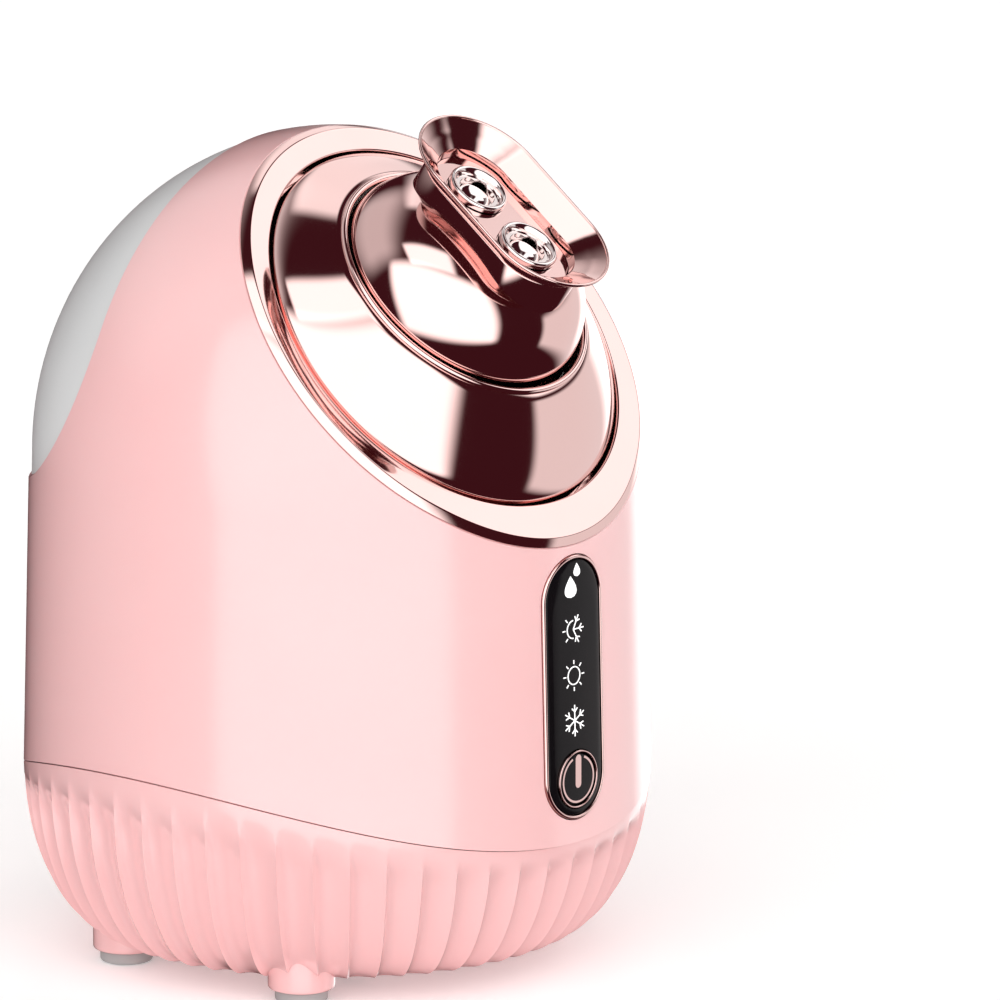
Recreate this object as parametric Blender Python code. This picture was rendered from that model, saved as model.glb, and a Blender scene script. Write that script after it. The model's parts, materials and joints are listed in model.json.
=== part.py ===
"""Facial steamer: hot and cold double spray, free standing, tank at the back.

Metres, +Z up.  The control panel faces -Y.  The floor under the feet is z = 0.
"""
import math

import bmesh
import bpy
from mathutils import Matrix, Vector

# ---------------------------------------------------------------- driving dimensions
AXIS_Y = 0.0018          # the body's axis, so that the outline is centred front to back
BODY_R = 0.081           # half width at the seam
SEAM_Z = 0.052           # mean height of the seam between body and base
SEAM_SIDE_RISE = 0.117   # seam wave, twice round, as a share of the half width
SEAM_FRONT_DROP = 0.002  # seam slope towards the front, as a share of the half width
TAPER = 0.025            # how much the wall draws in for each unit of height
WALL = 0.0025            # moulded wall thickness
GAP = 0.0003             # between neighbours that touch

DOME_Z = SEAM_Z + BODY_R                 # where the wall turns into the dome
DOME_R = BODY_R * (1.0 - TAPER)
DOME_H = 1.031 * BODY_R

FACE_TILT = math.radians(41.4)           # the face's normal above the horizontal
BAND_OFF = 1.307 * BODY_R                # band plane, from the seam's centre
BAND_UP = 0.795 * BODY_R                 # turret axis, along the face
RING_CHAMFER = 0.0016                    # height of the ring's outer bevel
RING_EDGE = 0.0020                       # width of the same bevel
RECESS_R = 0.0536                        # inner edge of the flat band
RECESS_DEPTH = 0.0090
TURRET_R = 0.0527                        # turret where it passes the band
TURRET_H = 0.0130                        # band plane to the rim's plane
RIM_SHIFT = 0.0048                       # rim centre, up the face
RIM_TILT = math.radians(6.4)
RIM_R = 0.0354                           # middle of the rolled rim
RIM_ROLL = 0.0008
FLANGE_R = 0.0598                        # the turret's hidden flange, under the ring
FLANGE_THICK = 0.0020

BALL_R = 0.0340                          # the ball's equator
BALL_H = 0.0268                          # its flattened top, above the equator
BALL_POWER = 2.6                         # 2 would be an ellipse; more is squarer
BALL_SKIN = 0.0020
BALL_CUT = 0.0150                        # the ball is open this far below its centre
BALL_SHIFT = 0.0042                      # ball centre, up the face
BALL_LIFT = 0.0062                       # ball centre, over the band plane
TRUNNION_R = 0.0020
HORN_TILT = math.radians(53.5)           # the nozzle's axis above the horizontal
HORN_OUT = 0.0359                        # ball centre to the horn's lip
HORN_HALF = 0.0126                       # half of the lip's straight side
HORN_R = 0.0185                          # radius of the lip's ends
COLLAR_OUT = HORN_OUT - 0.0052           # where the horn's collar sits on the neck
COLLAR_R = 0.0146
NECK_END_R = 0.0135                      # radius of the oval neck's ends
FLOOR_OUT = HORN_OUT - 0.0071            # the horn's floor
FLOOR_HALF = 0.0122
FLOOR_R = 0.0106
HORN_SPIGOT = 0.0017                     # the horn's tail inside the neck is this much smaller
PLATE_THICK = 0.0016                     # the horn's floor plate
OUTLET_APART = 0.0206
OUTLET_R = 0.0080
OUTLET_STEM_R = 0.0046
OUTLET_BORE_R = 0.0026
OUTLET_LOW = 0.0110                      # where the outlets' tubes begin

PANEL_Z = SEAM_Z + 0.38 * BODY_R         # middle of the control panel
PANEL_HALF_H = 0.0340
PANEL_HALF_W = 0.0108
BUTTON_Z = SEAM_Z + 0.085 * BODY_R
BUTTON_R = 0.0066
BUTTON_STEM_R = 0.0020
BUTTON_TRAVEL = 0.0008
TRIM_R = 0.0075                          # the plated ring round the button

FLUTES = 54
FLUTE_DEPTH = 0.0016
BOWL_H = 0.545 * BODY_R                  # seam to the flat underside
BOWL_FLAT_R = 0.70 * BODY_R
BOWL_Z = SEAM_Z - BOWL_H
FOOT_X = 0.0485
FOOT_Y = 0.0300
FLOOR_Z = 0.0020                         # the floor, in the body's own frame
FOOT_R = 0.0086
PAD_R = 0.0068
PAD_H = 0.0032
COVER_R = 0.0450

TANK_FRONT = 0.26 * BODY_R               # tank's flat front, behind the axis
TANK_BEND = 0.60 * BODY_R                # radius from the flat front to the underside
TANK_LOW = SEAM_Z + 0.90 * BODY_R
TANK_INSET = 0.0008                      # the tank stands back from the body's skin
TANK_WALL = 0.0020
TANK_GAP = 0.0006
NECK_Y = 0.0590                          # filler neck under the tank
NECK_R = 0.0070
NECK_LOW = 0.1185                        # the neck's open end
CAP_R = 0.0086
DOCK_R = 0.0105
DOCK_FLOOR = 0.1115
DOCK_TOP = 0.1215
INLET_Z = 0.0300                         # middle of the mains inlet
INLET_Y = BODY_R - 0.0122
DUCT_R = 0.0050                          # steam and mist ducts
FEED_R = 0.0028                          # water feeds
BLADES = 7                               # on the fan

SIDES = 60                               # facets round the body
TURRET_SIDES = 48                        # facets round the turret and its parts


# ---------------------------------------------------------------- small helpers
def clear_scene():
    for item in list(bpy.data.objects):
        bpy.data.objects.remove(item, do_unlink=True)


def finish_material(name, colour, roughness, metallic=0.0, alpha=1.0):
    material = bpy.data.materials.new(name)
    material.use_nodes = True
    shader = material.node_tree.nodes["Principled BSDF"]
    shader.inputs["Base Color"].default_value = (*colour, 1.0)
    shader.inputs["Roughness"].default_value = roughness
    shader.inputs["Metallic"].default_value = metallic
    shader.inputs["Alpha"].default_value = alpha
    return material


def add_frame(name, matrix, parent=None):
    frame = bpy.data.objects.new(name, None)
    frame.empty_display_size = 0.01
    bpy.context.scene.collection.objects.link(frame)
    frame.parent = parent
    frame.matrix_local = matrix
    return frame


def add_object(name, bm, parent, material=None, sharp=35.0, place=None):
    bmesh.ops.recalc_face_normals(bm, faces=bm.faces)
    mesh = bpy.data.meshes.new(name)
    bm.to_mesh(mesh)
    bm.free()
    mesh.shade_smooth()
    mesh.set_sharp_from_angle(angle=math.radians(sharp))
    piece = bpy.data.objects.new(name, mesh)
    if material:
        mesh.materials.append(material)
    bpy.context.scene.collection.objects.link(piece)
    piece.parent = parent
    if place:
        piece.matrix_local = place
    return piece


def cutter(name, bm, parent, place=None):
    piece = add_object(name, bm, parent, place=place)
    piece.hide_render = True
    piece.display_type = "WIRE"
    return piece


def combine(piece, other, operation="DIFFERENCE"):
    modifier = piece.modifiers.new(other.name, "BOOLEAN")
    modifier.operation = operation
    modifier.solver = "EXACT"
    modifier.object = other


def loft(rings, closed=False):
    """Skin a row of equal rings; closed joins the last to the first, else the ends are capped."""
    bm = bmesh.new()
    rows = [[bm.verts.new(point) for point in ring] for ring in rings]
    pairs = list(zip(rows, rows[1:]))
    if closed:
        pairs.append((rows[-1], rows[0]))
    for low, high in pairs:
        for i in range(len(low)):
            j = (i + 1) % len(low)
            bm.faces.new((low[i], low[j], high[j], high[i]))
    if not closed:
        bm.faces.new(list(reversed(rows[0])))
        bm.faces.new(rows[-1])
    return bm


def circle(radius, height, sides, centre=(0.0, 0.0), turn=0.0):
    step = 2.0 * math.pi / sides
    return [Vector((centre[0] + radius * math.cos(turn + i * step),
                    centre[1] + radius * math.sin(turn + i * step), height)) for i in range(sides)]


def turned(profile, sides, closed=False, centre=(0.0, 0.0), turn=0.0):
    """A turned solid about +Z from (radius, height) pairs; closed makes it a ring."""
    return loft([circle(r, z, sides, centre, turn) for r, z in profile], closed)


def stadium(half, radius, height, arc=8):
    """An outline with two round ends, its straight sides along local Y."""
    points = []
    for end in (1, -1):
        for i in range(arc + 1):
            angle = (0.0 if end > 0 else math.pi) + math.pi * i / arc
            points.append(Vector((radius * math.cos(angle), end * half + radius * math.sin(angle), height)))
    return points


def block(size, centre):
    bm = bmesh.new()
    bmesh.ops.create_cube(bm, size=1.0)
    bmesh.ops.scale(bm, vec=size, verts=bm.verts)
    bmesh.ops.translate(bm, vec=centre, verts=bm.verts)
    return bm


def rounded_block(size, centre, radius, segments=2):
    bm = block(size, centre)
    upright = [e for e in bm.edges if abs(e.verts[0].co.z - e.verts[1].co.z) > size[2] * 0.5]
    bmesh.ops.bevel(bm, geom=upright, offset=radius, segments=segments, affect="EDGES", profile=0.5)
    return bm


def prism(outline, low, high):
    """A straight solid along X from a (y, z) outline."""
    return loft([[Vector((x, y, z)) for y, z in outline] for x in (low, high)])


# ---------------------------------------------------------------- the body's form
def seam_height(angle):
    """The seam's height round the body; the angle is measured from the front."""
    wave = SEAM_SIDE_RISE * math.cos(2.0 * angle) + SEAM_FRONT_DROP * math.cos(angle)
    return SEAM_Z - BODY_R * wave


def body_radius(z, inset=0.0):
    if z <= DOME_Z:
        return BODY_R * (1.0 - TAPER * (z - SEAM_Z) / BODY_R) - inset
    share = min((z - DOME_Z) / (DOME_H - inset), 1.0)
    return (DOME_R - inset) * math.sqrt(1.0 - share * share)


def body_form(inset, sides, wall_rows, dome_rows, seam_shift=0.0):
    """The closed outer form, from the wavy seam to just short of the dome's pole."""
    rings = []
    for row in range(wall_rows + 1):
        ring = []
        for i in range(sides):
            angle = 2.0 * math.pi * i / sides
            low = seam_height(angle) + seam_shift
            z = low + (DOME_Z - low) * row / wall_rows
            r = body_radius(z, inset)
            ring.append(Vector((r * math.sin(angle), -r * math.cos(angle), z)))
        rings.append(ring)
    level = SEAM_Z - BODY_R * SEAM_SIDE_RISE + seam_shift
    edge = rings[0]
    rings.insert(0, [Vector((0.9 * p.x, 0.9 * p.y, p.z)) for p in edge])
    rings.insert(0, [Vector((0.3 * p.x, 0.3 * p.y, level)) for p in edge])
    for row in range(1, dome_rows + 1):
        lift = 0.5 * math.pi * row / (dome_rows + 0.5)
        z = DOME_Z + (DOME_H - inset) * math.sin(lift)
        r = (DOME_R - inset) * math.cos(lift)
        rings.append([Vector((r * math.sin(a), -r * math.cos(a), z))
                      for a in (2.0 * math.pi * i / sides for i in range(sides))])
    return loft(rings)


def face_matrix():
    normal = Vector((0.0, -math.cos(FACE_TILT), math.sin(FACE_TILT)))
    upward = Vector((0.0, math.sin(FACE_TILT), math.cos(FACE_TILT)))
    origin = Vector((0.0, 0.0, SEAM_Z)) + BAND_OFF * normal + BAND_UP * upward
    matrix = Matrix.Identity(4)
    matrix.col[1] = (*upward, 0.0)
    matrix.col[2] = (*normal, 0.0)
    matrix.col[3] = (*origin, 1.0)
    return matrix


def edge_distance(angle, height):
    """From the turret axis to the body's skin, in the face's own plane at a height over the band."""
    matrix = face_matrix()
    near, far = 0.0, 0.12
    for _ in range(40):
        middle = 0.5 * (near + far)
        point = matrix @ Vector((middle * math.cos(angle), middle * math.sin(angle), height))
        if math.hypot(point.x, point.y) < body_radius(point.z):
            near = middle
        else:
            far = middle
    return near


def tank_outline(grow=0.0, back=0.11, top=0.25):
    """Side view of the tank's space, as (y, z): flat front, large bend, flat underside."""
    centre_y = TANK_FRONT + TANK_BEND
    centre_z = TANK_LOW + TANK_BEND
    radius = TANK_BEND + grow
    points = [(TANK_FRONT - grow, top)]
    steps = 10
    for i in range(steps + 1):
        angle = math.pi + 0.5 * math.pi * i / steps
        points.append((centre_y + radius * math.cos(angle), centre_z + radius * math.sin(angle)))
    points += [(back, TANK_LOW - grow), (back, top)]
    return points


# ---------------------------------------------------------------- housing
def build_body_shell(stand, face, finish):
    shell = add_object("body_shell", body_form(0.0, SIDES, 4, 8), stand, finish)
    plate_top = -RING_CHAMFER - 2.0 * GAP
    above = cutter("cut_above_face", block((0.3, 0.3, 0.1), (0, 0, plate_top + 0.05)), face)
    tank_space = cutter("cut_tank_space", prism(tank_outline(), -0.1, 0.1), stand)
    hollow = cutter("cut_hollow", body_form(WALL, 48, 3, 6, seam_shift=-0.004), stand)
    under = plate_top - WALL
    combine(hollow, cutter("cut_hollow_face", block((0.3, 0.3, 0.1), (0, 0, under + 0.05)), face))
    combine(hollow, cutter("cut_hollow_tank", prism(tank_outline(WALL), -0.11, 0.11), stand))
    well = cutter("cut_well", turned([(DOCK_R + 0.0025, 0.105), (DOCK_R + 0.0025, 0.140)], 32,
                                     centre=(0.0, NECK_Y)), stand)
    mouth = cutter("cut_mouth", turned([(RECESS_R + 0.0021, -0.02), (RECESS_R + 0.0021, 0.01)], SIDES), face)
    window = cutter("cut_window", panel_prism(0.0010, -0.10, -0.06), stand)
    for tool in (above, tank_space, hollow, mouth, window, well):
        combine(shell, tool)


def panel_prism(grow, near, far):
    outline = stadium(PANEL_HALF_H - PANEL_HALF_W, PANEL_HALF_W + grow, 0.0, arc=10)
    return loft([[Vector((p.x, y, PANEL_Z + p.y)) for p in outline] for y in (near, far)])


def bowl_radius(z, inset=0.0):
    """The base's side: a quarter ellipse from the seam down to the flat underside."""
    share = min(max((SEAM_Z - z) / (BOWL_H - inset), 0.0), 1.0)
    reach = BODY_R - BOWL_FLAT_R
    return BOWL_FLAT_R - inset + reach * math.sqrt(1.0 - share * share)


def build_base_bowl(stand, finish):
    sides = FLUTES * 2
    rings = []
    levels = (0.0, 0.07, 0.22, 0.45, 0.68, 0.88, 1.0)
    for level in levels:
        fade = math.sin(math.pi * min(1.0, level * 1.06)) ** 0.5 if level > 0.0 else 0.0
        ring = []
        for i in range(sides):
            angle = 2.0 * math.pi * i / sides
            top = seam_height(angle) - GAP
            z = top + (BOWL_Z - top) * math.sin(0.5 * math.pi * level)
            valley = FLUTE_DEPTH * fade if i % 2 else 0.0
            r = bowl_radius(z) - valley
            ring.append(Vector((r * math.sin(angle), -r * math.cos(angle), z)))
        rings.append(ring)
    around = [2.0 * math.pi * i / sides for i in range(sides)]
    hole = COVER_R + GAP
    for r, z in ((hole, BOWL_Z), (hole, BOWL_Z + WALL), (BOWL_FLAT_R - 0.004, BOWL_Z + WALL)):
        rings.append([Vector((r * math.sin(a), -r * math.cos(a), z)) for a in around])
    for level in (0.66, 0.30, 0.0):
        ring = []
        for angle in around:
            top = seam_height(angle) - GAP
            z = top + (BOWL_Z + WALL - top) * math.sin(0.5 * math.pi * level)
            r = bowl_radius(z) - WALL - FLUTE_DEPTH
            ring.append(Vector((r * math.sin(angle), -r * math.cos(angle), z)))
        rings.append(ring)
    bowl = add_object("base_bowl", loft(rings, closed=True), stand, finish)
    for k, (sx, sy) in enumerate(((-1, -1), (1, -1), (-1, 1), (1, 1))):
        low = FLOOR_Z + PAD_H
        boss = turned([(FOOT_R - 0.0006, low), (FOOT_R, low + 0.0006), (FOOT_R, 0.0150)], 16,
                      centre=(sx * FOOT_X, sy * FOOT_Y))
        combine(bowl, cutter("boss_%d" % k, boss, stand), "UNION")
    socket = block((0.0250, 0.03, 0.0170), (0.0, BODY_R - 0.004, INLET_Z))
    combine(bowl, cutter("cut_inlet", socket, stand))


def build_bottom_cover(stand, finish, steel):
    profile = [(0.0080, BOWL_Z + 0.0003), (COVER_R - 0.0008, BOWL_Z + 0.0003), (COVER_R, BOWL_Z + 0.0011),
               (COVER_R, BOWL_Z + WALL + 0.0010)]
    cover = add_object("bottom_cover", turned(profile, 48), stand, finish)
    for k in range(-1, 2):
        slot = rounded_block((0.0024, 0.030, 0.02), (0.0090 * k, 0.0, BOWL_Z), 0.0010)
        combine(cover, cutter("cut_vent_%d" % (k + 1), slot, stand))
    for k in range(4):
        angle = math.radians(45.0 + 90.0 * k)
        spot = (0.0385 * math.cos(angle), 0.0385 * math.sin(angle))
        hole = turned([(0.0016, BOWL_Z - 0.002), (0.0016, BOWL_Z + 0.008)], 16, centre=spot)
        combine(cover, cutter("cut_screw_%d" % k, hole, stand))
        head = [(0.0024, BOWL_Z - 0.0016), (0.0028, BOWL_Z - 0.0011), (0.0028, BOWL_Z),
                (0.0013, BOWL_Z), (0.0013, BOWL_Z + 0.0060)]
        add_object("cover_screw_%d" % (k + 1), turned(head, 12, centre=spot), stand, steel)


def build_feet(stand, rubber):
    names = (("front_left", -1, -1), ("front_right", 1, -1), ("rear_left", -1, 1), ("rear_right", 1, 1))
    for name, sx, sy in names:
        profile = [(PAD_R - 0.0006, FLOOR_Z), (PAD_R, FLOOR_Z + 0.0006), (PAD_R, FLOOR_Z + PAD_H - GAP)]
        pad = turned(profile, 20, centre=(sx * FOOT_X, sy * FOOT_Y))
        add_object("foot_pad_" + name, pad, stand, rubber)


# ---------------------------------------------------------------- face ring and turret
def build_face_ring(face, finish):
    rings = []
    low = -RING_CHAMFER
    under = low - GAP
    for i in range(SIDES):
        angle = 2.0 * math.pi * i / SIDES
        skin = edge_distance(angle, low)
        section = ((skin, low), (skin - RING_EDGE, 0.0), (RECESS_R + 0.0005, 0.0), (RECESS_R, -0.0005),
                   (RECESS_R, -RECESS_DEPTH), (RECESS_R + 0.0015, -RECESS_DEPTH), (RECESS_R + 0.0015, under),
                   (skin - 0.0004, under))
        rings.append([Vector((r * math.cos(angle), r * math.sin(angle), z)) for r, z in section])
    add_object("face_ring", loft(rings, closed=True), face, finish)


def turret_ring(share, radius, drop=0.0, sides=TURRET_SIDES):
    """One ring of the turret: share 0 lies in the band's plane, share 1 in the tilted rim's plane."""
    tilt = Matrix.Rotation(-RIM_TILT * share, 3, "X")
    centre = Vector((0.0, RIM_SHIFT * share, TURRET_H * share))
    return [centre + tilt @ Vector((p.x, p.y, -drop)) for p in circle(radius, 0.0, sides)]


def turret_radius(share):
    return TURRET_R + (RIM_R + RIM_ROLL - TURRET_R) * share ** 1.3


def build_turret(face, finish):
    skin = 0.0018
    flange_top = RECESS_DEPTH + GAP * 2.0
    rings = [turret_ring(0.0, FLANGE_R, flange_top), turret_ring(0.0, TURRET_R, flange_top)]
    shares = (0.0, 0.25, 0.5, 0.75)
    rings += [turret_ring(s, turret_radius(s)) for s in shares]
    for k in range(4):
        angle = math.pi * k / 3.0
        rings.append(turret_ring(1.0, RIM_R + RIM_ROLL * math.cos(angle), -RIM_ROLL * math.sin(angle)))
    rings += [turret_ring(s, turret_radius(s) - skin) for s in reversed(shares[1:])]
    inside = TURRET_R - skin - 0.0008
    rings.append(turret_ring(0.0, inside, flange_top))
    rings.append(turret_ring(0.0, inside, flange_top + FLANGE_THICK))
    rings.append(turret_ring(0.0, FLANGE_R, flange_top + FLANGE_THICK))
    add_object("turret_cone", loft(rings, closed=True), face, finish)


def build_swivel_race(face, finish):
    top = -(RECESS_DEPTH + GAP * 3.0 + FLANGE_THICK)
    low = top - 0.0022
    inner, outer = TURRET_R - 0.0007, FLANGE_R + 0.0002
    profile = [(inner, top), (inner, low), (outer, low), (outer, top)]
    add_object("swivel_race", turned(profile, TURRET_SIDES, closed=True), face, finish)


def build_head_cradle(face, finish):
    """A low ring round the ball with two lugs that hold its trunnions."""
    low, high = BALL_LIFT - 0.0044, BALL_LIFT - 0.0022
    inner, outer = BALL_R + 0.0006, BALL_R + 0.0030
    profile = [(inner, low), (outer, low), (outer, high), (inner, high)]
    ring = turned(profile, 32, closed=True, centre=(0.0, BALL_SHIFT))
    cradle = add_object("head_cradle", ring, face, finish)
    lug = (outer - inner, 0.0080, 0.0070)
    for side, name in ((-1, "lug_left"), (1, "lug_right")):
        centre = (side * 0.5 * (inner + outer), BALL_SHIFT, BALL_LIFT - 0.0008)
        combine(cradle, cutter(name, block(lug, centre), face), "UNION")
    axis = Matrix.Translation((0.0, BALL_SHIFT, BALL_LIFT))
    combine(cradle, cutter("cut_trunnions", trunnion_bar(TRUNNION_R + 0.0001, 0.05), face, axis))


def trunnion_bar(radius, reach):
    """A round bar along X, centred on the tilt axis."""
    return loft([[Vector((x, p.x, p.y)) for p in circle(radius, 0.0, 12)] for x in (-reach, reach)])


# ---------------------------------------------------------------- tilting head
def ball_profile(inset, steps):
    """Half of a flattened ball as (radius, height), from just off one pole to the other."""
    points = []
    for i in range(steps):
        angle = -0.5 * math.pi + math.pi * (i + 0.5) / steps
        height = (BALL_H - inset) * math.copysign(abs(math.sin(angle)) ** (2.0 / BALL_POWER), math.sin(angle))
        points.append(((BALL_R - inset) * math.cos(angle) ** (2.0 / BALL_POWER), height))
    return points


def build_ball_head(head, finish):
    ball = add_object("ball_head", turned(ball_profile(0.0, 16), 40), head, finish)
    neck_top = COLLAR_OUT - GAP
    neck = loft([stadium(FLOOR_HALF, NECK_END_R, 0.0140), stadium(FLOOR_HALF, NECK_END_R, neck_top - 0.0006),
                 stadium(FLOOR_HALF, NECK_END_R - 0.0006, neck_top)])
    combine(ball, cutter("add_neck", neck, head), "UNION")
    level = Matrix.Rotation(HORN_TILT - FACE_TILT, 4, "X")
    combine(ball, cutter("add_trunnions", trunnion_bar(TRUNNION_R, BALL_R + 0.0027), head, level), "UNION")
    combine(ball, cutter("cut_ball_inside", turned(ball_profile(BALL_SKIN, 10), 24), head))
    bore = loft([stadium(FLOOR_HALF, NECK_END_R - 0.0014, z) for z in (0.010, neck_top + 0.01)])
    combine(ball, cutter("cut_neck_bore", bore, head))
    combine(ball, cutter("cut_ball_below", block((0.1, 0.1, 0.05), (0, 0, -BALL_CUT - 0.025)), head, level))


def build_horn(head, finish):
    spigot_r = NECK_END_R - HORN_SPIGOT
    wall_top = COLLAR_OUT + 0.0006
    stations = [(FLOOR_HALF, FLOOR_R, FLOOR_OUT), (FLOOR_HALF, spigot_r, FLOOR_OUT),
                (FLOOR_HALF, spigot_r, COLLAR_OUT), (FLOOR_HALF, COLLAR_R - 0.0005, COLLAR_OUT),
                (FLOOR_HALF, COLLAR_R, COLLAR_OUT + 0.0016),
                (HORN_HALF, HORN_R - 0.0012, HORN_OUT - 0.0020),
                (HORN_HALF, HORN_R, HORN_OUT - 0.0004), (HORN_HALF, HORN_R - 0.0004, HORN_OUT),
                (HORN_HALF, HORN_R - 0.0010, HORN_OUT - 0.0004), (FLOOR_HALF, FLOOR_R + 0.0005, wall_top)]
    add_object("horn_nozzle", loft([stadium(a, r, z) for a, r, z in stations], closed=True), head, finish)


def build_nozzle_plate(head, finish, bright):
    top = FLOOR_OUT - GAP
    plate_r = NECK_END_R - HORN_SPIGOT - 0.0002
    plate_form = loft([stadium(FLOOR_HALF, plate_r, z) for z in (top - PLATE_THICK, top)])
    plate = add_object("nozzle_plate", plate_form, head, finish)
    for name, side in (("hot_outlet", -1), ("cold_outlet", 1)):
        spot = (0.0, side * 0.5 * OUTLET_APART)
        hole_r = OUTLET_STEM_R + 0.0010
        hole = turned([(hole_r, top - 0.005), (hole_r, top + 0.005)], 24, centre=spot)
        combine(plate, cutter("cut_" + name, hole, head))
        profile = [(OUTLET_BORE_R, OUTLET_LOW), (OUTLET_STEM_R, OUTLET_LOW), (OUTLET_STEM_R, top + GAP),
                   (OUTLET_R, top + GAP), (OUTLET_R, top + 0.0014), (OUTLET_R - 0.0006, top + 0.0018),
                   (OUTLET_R - 0.0014, top + 0.0016), (OUTLET_R - 0.0040, top + 0.0008),
                   (OUTLET_BORE_R, top - 0.0006)]
        add_object(name, turned(profile, 20, closed=True, centre=spot), head, bright)


# ---------------------------------------------------------------- control panel
def panel_front(x, z, proud):
    r = body_radius(z) + proud
    return -math.sqrt(r * r - x * x)


def curved_panel(grow, proud, back, columns=4):
    """A plate with round ends that follows the body's curve."""
    half_w = PANEL_HALF_W + grow
    straight = PANEL_HALF_H - PANEL_HALF_W
    rows = []
    for i in range(1, 6):
        angle = 0.5 * math.pi * (1.0 - i / 5.5)
        rows.append((-straight - half_w * math.sin(angle), half_w * math.cos(angle)))
    for i in range(4):
        rows.append((straight * (-1.0 + 2.0 * i / 3.0), half_w))
    rows += [(-z, w) for z, w in reversed(rows[:5])]
    rings = []
    for z, w in rows:
        xs = [w * (-1.0 + 2.0 * k / columns) for k in range(columns + 1)]
        height = PANEL_Z + z
        ring = [Vector((x, panel_front(x, height, proud), height)) for x in xs]
        ring += [Vector((x, panel_front(x, height, proud - back), height)) for x in reversed(xs)]
        rings.append(ring)
    return loft(rings)


# the bezel's section: outward from the lens edge, and proud of the body's skin
BEZEL_SECTION = ((-0.0002, -0.0020), (0.0007, -0.0020), (0.0007, 0.0002), (0.0004, 0.0006), (-0.0002, 0.0006))


def build_panel(stand, bezel_finish, lens_finish, board_finish):
    lens = add_object("panel_lens", curved_panel(-0.0005, 0.0004, 0.0020), stand, lens_finish)
    rim = circle(TRIM_R + GAP, 0.0, 24)
    hole = loft([[Vector((p.x, y, BUTTON_Z + p.y)) for p in rim] for y in (-0.1, -0.06)])
    combine(lens, cutter("cut_button_hole", hole, stand))
    outline = stadium(PANEL_HALF_H - PANEL_HALF_W, 1.0, 0.0, arc=10)
    rings = []
    for point in outline:
        end = PANEL_HALF_H - PANEL_HALF_W
        side = Vector((point.x, 0.0, point.y - math.copysign(end, point.y)))
        ring = []
        for out, proud in BEZEL_SECTION:
            r = PANEL_HALF_W + out
            x = side.x * r
            z = PANEL_Z + math.copysign(end, point.y) + side.z * r
            ring.append(Vector((x, panel_front(x, z, proud), z)))
        rings.append(ring)
    add_object("panel_bezel", loft(rings, closed=True), stand, bezel_finish)
    board = block((0.0180, 0.0016, 0.0600), (0.0, -0.0700, PANEL_Z))
    add_object("control_board", board, stand, board_finish)


def build_button(button, ring_finish, cap_finish, switch_finish):
    """Round parts turned about local Z, which points out of the panel."""
    trim_in = TRIM_R - 0.0006
    trim = [(trim_in, -0.0024), (TRIM_R, -0.0024), (TRIM_R, 0.0003), (TRIM_R - 0.0002, 0.0006),
            (trim_in + 0.0002, 0.0006), (trim_in, 0.0003)]
    add_object("button_ring", turned(trim, 32, closed=True), button, ring_finish)
    cap = [(BUTTON_STEM_R, -0.0060), (BUTTON_STEM_R, -0.0030), (BUTTON_R, -0.0030), (BUTTON_R, 0.0000),
           (BUTTON_R - 0.0004, 0.0004)]
    add_object("power_button", turned(cap, 32), button, cap_finish)
    switch = block((0.0060, 0.0060, 0.0014), (0.0, 0.0, -0.0060 - BUTTON_TRAVEL - GAP - 0.0007))
    add_object("power_switch", switch, button, switch_finish)


# ---------------------------------------------------------------- tank
def build_tank(tank, shell_finish):
    form = body_form(TANK_INSET, SIDES, 4, 8)
    shell = add_object("water_tank", form, tank, shell_finish)
    keep = cutter("keep_tank", prism(tank_outline(-TANK_GAP), -0.1, 0.1), tank)
    combine(shell, keep, "INTERSECT")
    neck = turned([(NECK_R, NECK_LOW), (NECK_R, NECK_LOW + 0.0135)], 32, centre=(0.0, NECK_Y))
    combine(shell, cutter("add_filler_neck", neck, tank), "UNION")
    inside = cutter("cut_tank_inside", body_form(TANK_INSET + TANK_WALL, 48, 3, 6), tank)
    room = cutter("keep_tank_inside", prism(tank_outline(-TANK_GAP - TANK_WALL), -0.1, 0.1), tank)
    combine(inside, room, "INTERSECT")
    combine(shell, inside)
    bore_r = NECK_R - 0.0014
    bore = turned([(bore_r, NECK_LOW - 0.0035), (bore_r, NECK_LOW + 0.0175)], 32, centre=(0.0, NECK_Y))
    combine(shell, cutter("cut_filler_bore", bore, tank))


def build_tank_cap(cap, finish, seal_finish, steel):
    """Turned about local Z through the filler neck; local zero is the neck's open end."""
    outer = CAP_R
    profile = [(0.0023, -0.0034), (outer - 0.0005, -0.0034), (outer, -0.0029), (outer, 0.0028),
               (NECK_R + 0.0004, 0.0028), (NECK_R + 0.0004, -0.0010), (NECK_R - 0.0020, -0.0010),
               (NECK_R - 0.0020, 0.0016), (0.0036, 0.0016), (0.0036, -0.0018), (0.0023, -0.0018)]
    add_object("tank_cap", turned(profile, 24, closed=True), cap, finish)
    seal_in, seal_out = NECK_R - 0.0016, NECK_R + 0.0001
    seal = [(seal_in, -0.0007), (seal_out, -0.0007), (seal_out, -0.0002), (seal_in, -0.0002)]
    add_object("cap_seal", turned(seal, 24, closed=True), cap, seal_finish)
    plunger = [(0.0014, -0.0046), (0.0019, -0.0042), (0.0019, -0.0015), (0.0031, -0.0015), (0.0031, 0.0000),
               (0.0012, 0.0004), (0.0012, 0.0040)]
    add_object("valve_plunger", turned(plunger, 16), cap, steel)


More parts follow.
